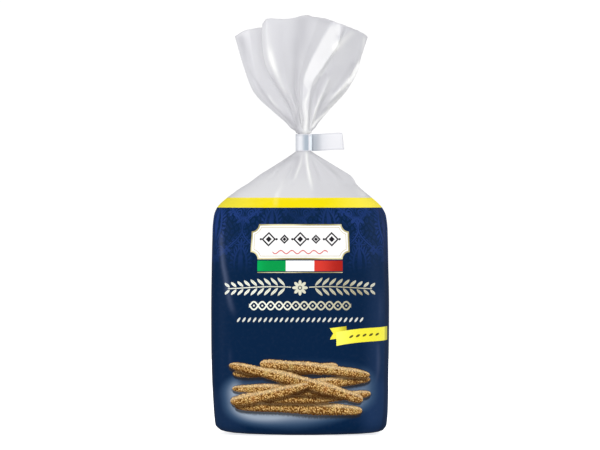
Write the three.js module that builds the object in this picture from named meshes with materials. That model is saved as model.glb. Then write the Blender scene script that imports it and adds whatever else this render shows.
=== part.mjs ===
// A filled block-bottom film bag, standing on its base, with its neck gathered by an adhesive closure strip and the spare film fanned out above it.
//
// Frame, in millimetres: X runs across the pack to the right, Y from the front panel (-Y) to the back panel (+Y), Z up. The origin is the middle of the base on the
// surface that the pack stands on.
//
// Two pieces:
//   bag      one piece of film around its filling, solid: flat base with rounded edges, body with soft upright corners, sloping shoulder with a side gusset
//            tucked in on each side, gathered neck, and the ruffled film above the neck, solid out to its pleated outline.
//   closure  the strip wrapped once round the neck; its front end lies over the root of a flat tail that sticks out to the right.
import * as THREE from "three";

// ---------- driving dimensions (mm, degrees) ----------
const HEIGHT_NECK_LOW = 223.4; // the gathered neck starts here
const HEIGHT_NECK_HIGH = 237.7; // and ends here
const NECK_X = 3.1; // the neck stands a little right of the body's middle
const NECK_R = 5.3;
const NECK_FLUTES = 13;
const NECK_FLUTE_DEPTH = 0.22;

// stations of the bag below the neck: height, half width of the outline, half depth, squareness of the section (2 is an ellipse)
const STATIONS = [
  [0.0, 44.0, 15.5, 4.2],
  [0.8, 50.0, 18.0, 4.2],
  [1.7, 57.0, 20.6, 4.3],
  [3.4, 63.6, 24.0, 4.4],
  [8.0, 67.4, 27.6, 4.5],
  [26.0, 69.2, 30.0, 4.6],
  [75.0, 70.0, 31.0, 4.6],
  [130.0, 69.9, 31.0, 4.5],
  [160.0, 69.4, 30.2, 4.2],
  [172.0, 68.5, 29.0, 3.9],
  [178.5, 66.7, 27.6, 3.6],
  [184.5, 61.4, 25.8, 3.3],
  [190.8, 52.5, 23.2, 3.0],
  [197.1, 43.9, 20.0, 2.7],
  [203.4, 37.2, 16.8, 2.4],
  [209.7, 27.6, 13.2, 2.3],
  [216.0, 17.7, 9.6, 2.1],
  [221.0, 9.7, 6.8, 2.0],
  [HEIGHT_NECK_LOW, NECK_R, NECK_R, 2.0],
];
const LEVELS_BODY = 30; // rings from the base up to the neck
const COLUMNS = 84; // points round a ring
const BASE_RINGS = 2; // rings inside the flat base

// side gussets: a tuck on each side of the shoulder, none at the base or at the neck
const TUCK_DEPTH = 0.34; // share of the half width
const TUCK_FROM = 158;
const TUCK_FULL = 196;
const TUCK_HALF_WIDTH = 0.5; // share of the half depth

// folds that run down the shoulder from the neck: azimuth (deg, 0 at the front, growing to the right), half width (deg), depth, lower end
const SHOULDER_FOLDS = [
  [-64, 11, 1.5, 186],
  [-38, 9, 1.3, 183],
  [-14, 8, 1.6, 188],
  [13, 7, 1.2, 192],
  [36, 9, 1.5, 184],
  [66, 10, 1.3, 190],
  [118, 10, 1.5, 187],
  [146, 9, 1.2, 184],
  [169, 8, 1.5, 190],
  [-165, 8, 1.2, 186],
  [-140, 9, 1.4, 184],
  [-116, 10, 1.3, 189],
];

// film above the neck
const FILM_LENGTH = 93.0; // from the closure to the cut edge, measured along the film
const SLOPE_LOW = 0.73; // sine of the film's lean just above the closure, for the widest pleat
const SLOPE_HIGH = 0.29; // and near its edge
const SLOPE_FROM = 32;
const SLOPE_TO = 60;
const BOW = 6.5; // how far the front pleats swing left on their way up
const LEVELS_FAN = 17;
const FAN_BLEND = 15; // film length over which the round neck becomes the pleated outline

// plan of the cut edge, round from the front middle to the right, from the neck's axis: pleats and the tucks between them, and how much longer or shorter
// than FILM_LENGTH the film is cut there
const EDGE_PLAN = [
  [1, -23.5, 1.8],
  [14, -27, 1.0],
  [25, -23.5, 0],
  [30.5, -16, -2.2],
  [25, -7.5, -2.5],
  [35.5, -12.5, -2.2],
  [46, -9, -2.6],
  [50.5, 0, -1.8],
  [43, 9.5, -3],
  [32, 8.5, -2.8],
  [24, 12, -2.5],
  [28, 21, -2],
  [17, 27.5, 0.4],
  [6, 23, 0],
  [3, 14, -1],
  [-5, 22.5, 0.5],
  [-15, 28, 1.2],
  [-29, 22.5, 0],
  [-27, 12, -2.5],
  [-38, 11.5, -2.5],
  [-50, 6.5, -0.6],
  [-53.5, -2, 0],
  [-46, -10.5, -1.4],
  [-35, -12, -3.2],
  [-25.5, -6.5, -3.6],
  [-33, -14, 0.4],
  [-27, -23, 1.8],
  [-12, -27, 1.6],
];

// closure strip
const STRIP_LOW = 223.9;
const STRIP_HIGH = 237.2;
const STRIP_T = 0.6;
const LOOP_R_IN = NECK_R + NECK_FLUTE_DEPTH + 0.32;
const TAIL_END_X = 31.3; // from the neck's axis
const TAIL_END_Y = -1.2;
const TAIL_ROOT_DEG = 12; // where the tail runs into the loop, from +X towards the back
const LIP_DEG = -38; // where the front end leaves the loop
const LIP_END_X = 8.6; // how far it reaches over the tail
const LIP_END_Y = -1.75;
const TAIL_RISE = 1.3; // the tail's far end sits this much higher
const STRIP_STEPS = 34;

// ---------- helpers ----------
const clamp01 = (t) => Math.min(1, Math.max(0, t));
const smooth = (a, b, t) => {
  const k = clamp01((t - a) / (b - a));
  return k * k * (3 - 2 * k);
};

// monotone cubic through the stations, column by column
function stationAt(z) {
  const n = STATIONS.length;
  let i = 0;
  while (i < n - 2 && z > STATIONS[i + 1][0]) i++;
  const h = (k) => STATIONS[k + 1][0] - STATIONS[k][0];
  const slope = (k, c) => (STATIONS[k + 1][c] - STATIONS[k][c]) / h(k);
  const tangent = (k, c) => {
    if (k === 0) return slope(0, c);
    if (k === n - 1) return slope(n - 2, c);
    const a = slope(k - 1, c);
    const b = slope(k, c);
    return a * b <= 0 ? 0 : (2 * a * b) / (a + b);
  };
  const t = clamp01((z - STATIONS[i][0]) / h(i));
  const t2 = t * t;
  const t3 = t2 * t;
  return [1, 2, 3].map(
    (c) =>
      (2 * t3 - 3 * t2 + 1) * STATIONS[i][c] +
      (t3 - 2 * t2 + t) * h(i) * tangent(i, c) +
      (-2 * t3 + 3 * t2) * STATIONS[i + 1][c] +
      (t3 - t2) * h(i) * tangent(i + 1, c),
  );
}

// radius of the section at an azimuth, which is 0 at the front and grows towards +X
function sectionRadius(az, a, b, n) {
  const s = Math.abs(Math.sin(az)) / a;
  const c = Math.abs(Math.cos(az)) / b;
  return Math.pow(Math.pow(s, n) + Math.pow(c, n), -1 / n);
}

// azimuths of the columns: even steps of film round the middle of the body
function columnAzimuths(count) {
  const fine = 7200;
  const [a, b, n] = stationAt(75);
  const at = (k) => {
    const az = (2 * Math.PI * k) / fine;
    const r = sectionRadius(az, a, b, n);
    return [r * Math.sin(az), -r * Math.cos(az)];
  };
  const run = [0];
  let p = at(0);
  for (let k = 1; k <= fine; k++) {
    const q = at(k);
    run.push(run[k - 1] + Math.hypot(q[0] - p[0], q[1] - p[1]));
    p = q;
  }
  const out = [];
  let k = 0;
  for (let i = 0; i < count; i++) {
    const want = (run[fine] * i) / count;
    while (run[k + 1] < want) k++;
    out.push(
      (2 * Math.PI * (k + (want - run[k]) / (run[k + 1] - run[k]))) / fine,
    );
  }
  return out;
}

const AZIMUTHS = columnAzimuths(COLUMNS);

// radius of the bag's skin below the neck, before its outline is brought to the stated half width
function skinRadius(az, z) {
  const [a, b, n] = stationAt(z);
  let r = sectionRadius(az, a, b, n);
  const side = clamp01(1 - Math.abs(r * Math.cos(az)) / (TUCK_HALF_WIDTH * b));
  const tuck =
    TUCK_DEPTH *
    smooth(TUCK_FROM, TUCK_FULL, z) *
    (1 - smooth(208, HEIGHT_NECK_LOW - 2, z));
  r *= 1 - tuck * side * side * (3 - 2 * side);
  for (const [deg, half, depth, low] of SHOULDER_FOLDS) {
    const off = Math.abs(((((az * 180) / Math.PI - deg) % 360) + 540) % 360 - 180);
    if (off < half) {
      const across = 0.5 + 0.5 * Math.cos((Math.PI * off) / half);
      r -= depth * across * smooth(low, low + 16, z) * (1 - smooth(206, 220, z));
    }
  }
  return r + NECK_FLUTE_DEPTH * Math.cos(NECK_FLUTES * az) * smooth(205, 222, z);
}

const outlineScales = new Map();
function outlineScale(z) {
  if (!outlineScales.has(z)) {
    let widest = 0;
    for (let d = 30; d <= 150; d++) {
      const az = (d * Math.PI) / 180;
      widest = Math.max(widest, skinRadius(az, z) * Math.sin(az));
    }
    outlineScales.set(z, stationAt(z)[0] / widest);
  }
  return outlineScales.get(z);
}

// one point of the bag's skin below the neck
function bodyPoint(az, z, share = 1) {
  const r = skinRadius(az, z) * share;
  const cx = NECK_X * smooth(192, 204, z);
  return [cx + r * Math.sin(az) * outlineScale(z), -r * Math.cos(az), z];
}

// plan of the cut edge, in even steps of film, starting at the front middle
const edgeCurve = new THREE.CatmullRomCurve3(
  EDGE_PLAN.map(([x, y, more]) => new THREE.Vector3(x, y, more)),
  true,
  "centripetal",
);
edgeCurve.arcLengthDivisions = 1200;

const lean = (s) =>
  SLOPE_LOW + (SLOPE_HIGH - SLOPE_LOW) * smooth(SLOPE_FROM, SLOPE_TO, s);
const FAN_STEPS = 372;
const LEAN_SUM = (() => {
  const run = [0];
  const d = FILM_LENGTH / FAN_STEPS;
  for (let k = 0; k < FAN_STEPS; k++)
    run.push(run[k] + lean((k + 0.5) * d) * d);
  return run;
})();

// one point of the fanned film: u is the share round the bag, t the share of the film's length above the neck
function fanPoint(u, az, t) {
  const tip = edgeCurve.getPointAt(u);
  const reach = Math.hypot(tip.x, tip.y);
  const k = (reach - NECK_R) / LEAN_SUM[FAN_STEPS]; // this pleat's lean, against the widest one's
  const stretch = 1 + tip.z / FILM_LENGTH;
  const s = FILM_LENGTH * t;
  const d = FILM_LENGTH / FAN_STEPS;
  const at = Math.round(t * FAN_STEPS);
  let up = 0;
  for (let j = 0; j < at; j++) {
    const q = k * lean((j + 0.5) * d);
    up += Math.sqrt(Math.max(0.05, 1 - q * q)) * d;
  }
  const out = NECK_R + k * LEAN_SUM[at];
  const w = smooth(0, FAN_BLEND, s);
  const rn = NECK_R + NECK_FLUTE_DEPTH * Math.cos(NECK_FLUTES * az) + 0.35 * s;
  const front = smooth(12, -8, tip.y) * (1 - smooth(28, 50, Math.abs(tip.x)));
  const bow = -BOW * Math.sin(Math.PI * t) * (0.08 + 0.92 * front);
  return [
    NECK_X + rn * Math.sin(az) * (1 - w) + ((tip.x / reach) * out + bow) * w,
    -rn * Math.cos(az) * (1 - w) + (tip.y / reach) * out * w,
    HEIGHT_NECK_HIGH + up * (1 + (stretch - 1) * t),
  ];
}

// closed skin from a stack of rings, with a fan at the bottom and a triangulated lid on top
function skin(centre, rings, name) {
  const pos = [...centre];
  for (const ring of rings) for (const p of ring) pos.push(...p);
  const at = (r, i) => 1 + r * COLUMNS + (i % COLUMNS);
  const idx = [];
  for (let i = 0; i < COLUMNS; i++) idx.push(0, at(0, i + 1), at(0, i));
  for (let r = 0; r + 1 < rings.length; r++)
    for (let i = 0; i < COLUMNS; i++) {
      idx.push(at(r, i), at(r, i + 1), at(r + 1, i + 1));
      idx.push(at(r, i), at(r + 1, i + 1), at(r + 1, i));
    }
  const last = rings.length - 1;
  const outline = rings[last].map(([x, y]) => new THREE.Vector2(x, y));
  for (const [a, b, c] of THREE.ShapeUtils.triangulateShape(outline, [])) {
    const p = outline[a];
    const q = outline[b];
    const r = outline[c];
    const turn = (q.x - p.x) * (r.y - p.y) - (q.y - p.y) * (r.x - p.x);
    if (turn > 0) idx.push(at(last, a), at(last, b), at(last, c));
    else idx.push(at(last, a), at(last, c), at(last, b));
  }
  const g = new THREE.BufferGeometry();
  g.setAttribute("position", new THREE.Float32BufferAttribute(pos, 3));
  g.setIndex(idx);
  g.computeVertexNormals();
  g.name = name;
  return g;
}

// heights of the rings below the neck: closer together at the base edge and the shoulder
function bodyHeights() {
  const run = [0];
  const steps = 600;
  const weight = (z) =>
    1 + 9 * Math.exp(-z / 5) + 2.6 * smooth(160, 182, z);
  for (let k = 0; k < steps; k++)
    run.push(run[k] + weight(((k + 0.5) / steps) * HEIGHT_NECK_LOW));
  const out = [];
  let k = 0;
  for (let i = 0; i < LEVELS_BODY; i++) {
    const want = (run[steps] * i) / (LEVELS_BODY - 1);
    while (k < steps - 1 && run[k + 1] < want) k++;
    out.push(
      ((k + (want - run[k]) / (run[k + 1] - run[k])) / steps) *
        HEIGHT_NECK_LOW,
    );
  }
  return out;
}

function bagGeometry() {
  const rings = [];
  for (let j = 1; j <= BASE_RINGS; j++)
    rings.push(AZIMUTHS.map((az) => bodyPoint(az, 0, j / (BASE_RINGS + 1))));
  for (const z of bodyHeights()) rings.push(AZIMUTHS.map((az) => bodyPoint(az, z)));
  for (let j = 0; j <= LEVELS_FAN; j++) {
    rings.push(AZIMUTHS.map((az, i) => fanPoint(i / COLUMNS, az, j / LEVELS_FAN)));
  }
  return skin([0, 0, 0], rings, "bag");
}

// a strip standing on edge: its plan is a centre line, its top and bottom edges may rise along it
function stripGeometry(line, thickness, rise) {
  const n = line.length;
  const left = [];
  const right = [];
  for (let i = 0; i < n; i++) {
    const a = line[Math.max(0, i - 1)];
    const b = line[Math.min(n - 1, i + 1)];
    const len = Math.hypot(b[0] - a[0], b[1] - a[1]);
    const nx = (-(b[1] - a[1]) / len) * (thickness / 2);
    const ny = ((b[0] - a[0]) / len) * (thickness / 2);
    left.push([line[i][0] + nx, line[i][1] + ny]);
    right.push([line[i][0] - nx, line[i][1] - ny]);
  }
  const pos = [];
  for (let i = 0; i < n; i++) {
    const lift = rise(line[i]);
    pos.push(right[i][0], right[i][1], STRIP_LOW + lift);
    pos.push(left[i][0], left[i][1], STRIP_LOW + lift);
    pos.push(left[i][0], left[i][1], STRIP_HIGH + lift);
    pos.push(right[i][0], right[i][1], STRIP_HIGH + lift);
  }
  const idx = [];
  const quad = (a, b, c, d) => idx.push(a, b, c, a, c, d);
  for (let i = 0; i + 1 < n; i++) {
    const o = 4 * i;
    const q = o + 4;
    quad(o, q, q + 3, o + 3);
    quad(o + 1, o + 2, q + 2, q + 1);
    quad(o, o + 1, q + 1, q);
    quad(o + 3, q + 3, q + 2, o + 2);
  }
  quad(0, 3, 2, 1);
  const e = 4 * (n - 1);
  quad(e, e + 1, e + 2, e + 3);
  const g = new THREE.BufferGeometry();
  g.setAttribute("position", new THREE.Float32BufferAttribute(pos, 3));
  g.setIndex(idx);
  return g;
}

function closureGeometry() {
  const r = LOOP_R_IN + STRIP_T / 2;
  const deg = Math.PI / 180;
  const onLoop = (a) => [r * Math.cos(a * deg), r * Math.sin(a * deg)];
  const curve = (points, count) =>
    new THREE.CubicBezierCurve(...points.map(([x, y]) => new THREE.Vector2(x, y)))
      .getPoints(count)
      .map((p) => [p.x, p.y]);
  // the tail, from its far end in to the loop, which it joins a little way round the back
  const root = onLoop(TAIL_ROOT_DEG);
  const tail = curve(
    [
      [TAIL_END_X, TAIL_END_Y],
      [22, TAIL_END_Y - 0.3],
      [r + 2.4, -0.6],
      [root[0] + 0.9 * Math.sin(TAIL_ROOT_DEG * deg), root[1] - 0.9 * Math.cos(TAIL_ROOT_DEG * deg)],
    ],
    12,
  );
  // the loop, over the back and the left side to the front
  const around = [];
  for (let i = 0; i <= STRIP_STEPS; i++)
    around.push(
      onLoop(TAIL_ROOT_DEG + ((360 + LIP_DEG - TAIL_ROOT_DEG) * i) / STRIP_STEPS),
    );
  // the front end, which leaves the loop and lies on the tail's root
  const off = onLoop(LIP_DEG);
  const lip = curve(
    [
      off,
      [off[0] - 1.6 * Math.sin(LIP_DEG * deg), off[1] + 1.6 * Math.cos(LIP_DEG * deg)],
      [LIP_END_X - 1.6, LIP_END_Y],
      [LIP_END_X, LIP_END_Y],
    ],
    8,
  );
  const path = [...tail, ...around.slice(1), ...lip.slice(1)];
  const rising = ([x, y]) => (y > LIP_END_Y && x > r ? 1 : 0) * TAIL_RISE * smooth(r, TAIL_END_X, x);
  const g = stripGeometry(path, STRIP_T, rising);
  g.translate(NECK_X, 0, 0);
  g.computeVertexNormals();
  return g;
}

// ---------- the object ----------
const film = new THREE.MeshStandardMaterial({
  color: 0x12294a,
  roughness: 0.35,
  metalness: 0,
  side: THREE.DoubleSide,
});
const strip = new THREE.MeshStandardMaterial({
  color: 0xe9ecf2,
  roughness: 0.4,
  metalness: 0,
});

const bag = new THREE.Mesh(bagGeometry(), film);
bag.name = "bag";
const closure = new THREE.Mesh(closureGeometry(), strip);
closure.name = "closure";

const pack = new THREE.Group();
pack.add(bag, closure);
export default pack;
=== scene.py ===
import math

import bpy
import numpy as np
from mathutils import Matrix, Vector


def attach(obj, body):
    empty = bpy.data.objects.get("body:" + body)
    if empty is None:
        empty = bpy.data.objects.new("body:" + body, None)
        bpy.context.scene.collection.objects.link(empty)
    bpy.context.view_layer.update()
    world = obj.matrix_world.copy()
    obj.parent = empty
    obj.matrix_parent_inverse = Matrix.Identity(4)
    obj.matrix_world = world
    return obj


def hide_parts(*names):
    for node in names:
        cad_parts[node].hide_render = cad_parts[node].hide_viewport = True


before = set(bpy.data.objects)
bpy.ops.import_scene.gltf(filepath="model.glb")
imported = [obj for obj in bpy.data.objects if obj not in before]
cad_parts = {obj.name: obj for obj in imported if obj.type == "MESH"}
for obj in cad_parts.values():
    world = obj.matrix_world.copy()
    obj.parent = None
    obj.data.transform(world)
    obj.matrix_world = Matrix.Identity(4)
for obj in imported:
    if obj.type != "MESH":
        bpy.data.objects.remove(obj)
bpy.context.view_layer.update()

scene = bpy.context.scene
MM = 0.001

# ------------------------------------------------------------------ camera
VIEW_W = 0.4745  # width of the view at the bag's middle plane
DIST = 2.2
ELEV = math.radians(1.0)
AIM = Vector((0.0002, 0.0, 0.1646))
cam_data = bpy.data.cameras.new("camera")
cam_data.sensor_fit = "HORIZONTAL"
cam_data.sensor_width = 36.0
cam_data.lens = 36.0 * DIST / VIEW_W
cam_data.clip_start = 0.05
cam_data.clip_end = 50
camera = bpy.data.objects.new("camera", cam_data)
scene.collection.objects.link(camera)
camera.location = AIM + Vector((0, -DIST * math.cos(ELEV), DIST * math.sin(ELEV)))
camera.rotation_euler = (AIM - camera.location).to_track_quat("-Z", "Y").to_euler()
scene.camera = camera


# ------------------------------------------------------------------ helpers
def clamp01(t):
    return np.clip(t, 0.0, 1.0)


def smooth(a, b, t):
    k = clamp01((np.asarray(t, float) - a) / (b - a))
    return k * k * (3 - 2 * k)


def pchip(xs, ys, x):
    """Monotone cubic through (xs, ys)."""
    xs = np.asarray(xs, float)
    ys = np.asarray(ys, float)
    h = np.diff(xs)
    d = np.diff(ys) / h
    m = np.zeros_like(ys)
    m[0], m[-1] = d[0], d[-1]
    for i in range(1, len(xs) - 1):
        if d[i - 1] * d[i] > 0:
            m[i] = 2 * d[i - 1] * d[i] / (d[i - 1] + d[i])
    x = np.clip(np.asarray(x, float), xs[0], xs[-1])
    i = np.clip(np.searchsorted(xs, x, side="right") - 1, 0, len(xs) - 2)
    t = (x - xs[i]) / h[i]
    t2, t3 = t * t, t * t * t
    return (
        (2 * t3 - 3 * t2 + 1) * ys[i]
        + (t3 - 2 * t2 + t) * h[i] * m[i]
        + (-2 * t3 + 3 * t2) * ys[i + 1]
        + (t3 - t2) * h[i] * m[i + 1]
    )


def ripple(p, seed, count=7, low=1.0, high=3.0):
    """Smooth seeded noise of 3-D points p, about -1 to 1."""
    rng = np.random.default_rng(seed)
    out = np.zeros(p.shape[:-1])
    for _ in range(count):
        k = rng.normal(size=3)
        k *= rng.uniform(low, high) / np.linalg.norm(k)
        out += np.sin(p @ k + rng.uniform(0, 2 * math.pi))
    return out / math.sqrt(count / 2) / 1.6


def mesh_object(name, verts, faces, smooth_shade=True):
    me = bpy.data.meshes.new(name)
    me.from_pydata([tuple(v) for v in verts], [], [tuple(f) for f in faces])
    me.update()
    if smooth_shade:
        me.polygons.foreach_set("use_smooth", [True] * len(me.polygons))
    ob = bpy.data.objects.new(name, me)
    scene.collection.objects.link(ob)
    return ob


# ------------------------------------------------------------------ the film: one skin from base to cut edge
NECK_LOW, NECK_HIGH = 223.4, 236.9
NECK_X, NECK_R = 3.1, 5.3
# height, half width of the outline, half depth, squareness, sideways shift of the section
STATIONS = np.array(
    [
        [0.0, 24.0, 19.0, 3.4, 2.0],
        [0.4, 38.0, 21.4, 3.8, 2.6],
        [0.8, 48.4, 22.8, 4.1, 3.0],
        [1.7, 58.4, 24.5, 4.3, 2.6],
        [3.4, 64.4, 26.4, 4.4, 1.6],
        [8.0, 67.7, 28.6, 4.5, 0.95],
        [26.0, 68.95, 30.0, 4.6, 1.05],
        [45.0, 69.6, 30.5, 4.6, 0.75],
        [75.0, 70.1, 31.0, 4.6, 0.45],
        [100.0, 70.05, 31.0, 4.6, 0.25],
        [130.0, 69.6, 31.0, 4.5, 0.2],
        [160.0, 69.1, 30.2, 4.2, 0.4],
        [172.0, 67.8, 29.0, 3.9, 0.3],
        [178.5, 65.0, 27.4, 3.6, 0.0],
        [184.5, 59.2, 25.4, 3.3, -0.1],
        [190.8, 51.2, 22.8, 3.0, 0.15],
        [194.0, 47.1, 21.2, 2.85, 0.65],
        [197.1, 42.9, 19.6, 2.7, 1.65],
        [200.3, 39.8, 18.2, 2.55, 3.1],
        [203.4, 36.6, 16.6, 2.4, 3.9],
        [209.7, 26.6, 13.0, 2.3, 3.85],
        [216.0, 16.5, 9.4, 2.1, 3.7],
        [221.0, 8.7, 6.6, 2.0, 3.4],
        [NECK_LOW, NECK_R, NECK_R, 2.0, NECK_X],
    ]
)


def station(z):
    return [pchip(STATIONS[:, 0], STATIONS[:, k], z) for k in (1, 2, 3, 4)]


def section_radius(az, a, b, n):
    return (np.abs(np.sin(az) / a) ** n + np.abs(np.cos(az) / b) ** n) ** (-1.0 / n)


# columns: steps of film round the middle of the body, with close pairs where the back seam's edges are
fine_az = np.linspace(0, 2 * math.pi, 14401)
a_, b_, n_, _ = station(75.0)
fr = section_radius(fine_az, a_, b_, n_)
fx, fy = fr * np.sin(fine_az), -fr * np.cos(fine_az)
fine_run = np.concatenate([[0], np.cumsum(np.hypot(np.diff(fx), np.diff(fy)))])
GIRTH = fine_run[-1]
COLS_FRONT, COLS_BACK = 250, 168
SEAM_HALF = 5.5
half_front = COLS_FRONT // 2
u_even = np.concatenate([
    np.arange(half_front) / half_front * 0.25,
    0.25 + np.arange(COLS_BACK) / COLS_BACK * 0.5,
    0.75 + np.arange(half_front) / half_front * 0.25,
])
seam_edges = [0.5 - SEAM_HALF / GIRTH, 0.5 + SEAM_HALF / GIRTH]
u_all = list(u_even)
for e in seam_edges:
    near = int(np.argmin(np.abs(np.array(u_all) - e)))
    u_all[near] = e - 0.22 / GIRTH
    u_all.append(e + 0.22 / GIRTH)
U = np.array(sorted(u_all))
NU = len(U)
AZ = np.interp(U * GIRTH, fine_run, fine_az)
S_MM = np.where(U <= 0.5, U, U - 1.0) * GIRTH  # film millimetres from the front middle, to the right

SEAM = smooth(SEAM_HALF + 0.15, SEAM_HALF - 0.15, np.abs(np.abs(S_MM) - GIRTH / 2))

TUCK_DEPTH, TUCK_HALF = 0.34, 0.5
# folds down the shoulder from the neck: azimuth, half width (deg), depth, lower end
SHOULDER_FOLDS = [
    (-64, 11, 1.5, 186), (-38, 9, 1.0, 183), (36, 10, 0.9, 190), (66, 10, 1.3, 190),
    (118, 10, 1.5, 187), (146, 9, 1.2, 184), (169, 8, 1.5, 190),
    (-165, 8, 1.2, 186), (-140, 9, 1.4, 184), (-116, 10, 1.3, 189),
]
# sharp pinched ridges on the front of the shoulder: share of the half width at the neck and lower down, width, height, lower end
PINCHES = [
    (0.62, 0.66, 0.05, 0.35, 192),
    (-0.78, -0.72, 0.05, 0.35, 190),
]


def skin_radius(az, z):
    a, b, n, _ = station(z)
    r = section_radius(az, a, b, n)
    side = clamp01(1 - np.abs(r * np.cos(az)) / (TUCK_HALF * b))
    crease = smooth(60, 150, z) * 0.012
    tuck = (TUCK_DEPTH * smooth(158, 196, z) + crease) * (1 - smooth(208, NECK_LOW - 2, z))
    r = r * (1 - tuck * side * side * (3 - 2 * side))
    for deg, half, depth, low in SHOULDER_FOLDS:
        off = np.abs((np.degrees(az) - deg + 540) % 360 - 180)
        across = np.where(off < half, 0.5 + 0.5 * np.cos(math.pi * off / half), 0)
        r = r - depth * across * smooth(low, low + 16, z) * (1 - smooth(206, 220, z))
    return r


def body_ring(z, share=1.0):
    """One ring of the skin below the neck."""
    a, b, n, cx = station(z)
    r = skin_radius(AZ, z) * share
    x = r * np.sin(AZ)
    y = -r * np.cos(AZ)
    half = np.deg2rad(np.linspace(30, 150, 121))
    widest = (skin_radius(half, z) * np.sin(half)).max()
    x = x * (a / widest)
    return x + cx, y


heights = []
run = 0.0
zz = 0.0
while zz < 186.4:
    heights.append(zz)
    zz += 0.4 + 2.6 * (1 - math.exp(-zz / 10.0)) * (1 - 0.4 * float(smooth(150, 170, zz)))
heights.append(186.4)
zz = 186.4
while zz < NECK_LOW - 0.5:
    zz += 1.3
    heights.append(min(zz, NECK_LOW))
heights = sorted(set(heights))
if heights[-1] < NECK_LOW:
    heights.append(NECK_LOW)

rings = []  # each NU x 3, mm
kinds = []  # 0 printed, 1 clear

BASE_RINGS = 8
ax, ay = body_ring(0.0)
for j in range(1, BASE_RINGS):
    k = j / BASE_RINGS
    x, y = ax * k, ay * k
    # folded bottom: a flat seam across the middle, and envelope folds running to the corners
    lift = 0.55 * smooth(1.0, 0.9, k)
    seam = smooth(7.6, 7.1, np.abs(y + 1.5)) * smooth(41, 40.6, np.abs(x))
    fold = smooth(0.5, -0.3, (np.abs(x) - 27) - np.abs(y) * 0.9)
    z = lift * (1 - 0.55 * seam) - 0.2 * fold * (k < 0.9)
    rings.append(np.stack([x, y, np.maximum(z, 0.0)], 1))
    kinds.append(0)

for z in heights:
    x, y = body_ring(z)
    rings.append(np.stack([x, y, np.full(NU, z)], 1))
    kinds.append(0 if z < 186.4 - 1e-6 else 1)
n_body = len(rings)

# the neck under the closure
FLUTES = 17
for z in np.linspace(NECK_LOW, NECK_HIGH, 6)[1:]:
    r = NECK_R - 0.75 + 0.2 * np.cos(FLUTES * AZ + 0.6 * np.sin(3 * AZ))
    # evenly spaced film in the neck
    ang = 2 * math.pi * U
    k = smooth(NECK_LOW, NECK_HIGH, z)
    az = AZ * (1 - k) + ang * k
    rings.append(np.stack([NECK_X + r * np.sin(az), -r * np.cos(az), np.full(NU, z)], 1))
    kinds.append(1)
n_neck = len(rings)

# ---- the fanned film. Each fold is a line up the film, given at even steps of height:
# how far right of the neck's axis, how far back, and the height at which it is cut
Z_KNOTS = np.array([237.7, 255.8, 273.9, 292.0, 310.1, 328.2])
FRONT_FOLDS = [  # from the left outline across the front to the right outline
    ([-5.9, -25.9, -41.9, -48.4, -53.3, -55.6], [0.0, -0.5, -1.0, -1.6, -2.0, -2.0], 312.9),
    ([-5.1, -22.3, -37.4, -44.0, -47.2, -49.0], [-1.6, -2.8, -4.5, -5.2, -5.6, -5.6], 316.6),
    ([-4.8, -19.2, -32.6, -39.4, -41.6, -42.5], [-2.4, -4.4, -6.8, -7.8, -8.4, -8.4], 318.8),
    ([-4.2, -13.6, -26.5, -34.4, -36.6, -36.8], [-3.3, -4.3, -6.8, -8.4, -9.4, -9.4], 319.4),
    ([-3.9, -10.6, -21.6, -30.0, -31.4, -30.4], [-3.6, -4.6, -7.2, -8.8, -9.6, -9.6], 320.4),
    ([-3.7, -9.8, -20.6, -30.4, -33.0, -32.0], [-3.8, -6.2, -9.4, -12.4, -14.4, -15.0], 322.6),
    ([-3.3, -7.6, -16.8, -24.6, -28.8, -29.2], [-4.2, -8.2, -11.8, -15.6, -18.4, -19.4], 327.0),
    ([-2.6, -5.9, -12.2, -15.5, -17.0, -17.0], [-4.7, -9.4, -14.2, -18.2, -21.2, -22.4], 326.0),
    ([-1.2, -3.6, -6.6, -5.8, -2.6, 0.0], [-5.2, -8.0, -12.0, -16.4, -20.6, -23.0], 329.0),
    ([-0.4, -2.0, -3.4, -0.6, 5.6, 12.5], [-5.3, -8.8, -12.4, -16.4, -20.4, -22.6], 327.6),
    ([0.6, -1.0, -0.6, 4.4, 13.6, 24.2], [-5.3, -9.2, -12.0, -14.8, -17.8, -18.8], 324.6),
    ([2.9, 3.9, 6.1, 17.1, 28.0, 30.6], [-4.8, -11.4, -15.4, -21.0, -23.8, -24.2], 322.6),
    ([3.0, 5.0, 10.2, 19.2, 27.6, 36.6], [-4.4, -9.2, -13.4, -18.4, -21.4, -20.2], 320.8),
    ([3.9, 8.2, 16.0, 22.6, 29.4, 43.0], [-3.6, -9.8, -14.6, -17.6, -21.2, -18.4], 319.0),
    ([4.5, 11.0, 22.4, 31.6, 37.6, 47.0], [-2.9, -7.0, -10.6, -12.6, -14.6, -13.0], 317.2),
    ([4.9, 14.4, 28.4, 38.6, 43.8, 50.0], [-2.0, -6.0, -9.4, -8.2, -8.0, -8.0], 315.8),
    ([5.4, 18.9, 34.2, 43.0, 48.6, 52.0], [0.0, 0.0, -1.0, -1.0, 0.0, 0.0], 313.0),
]
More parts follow.
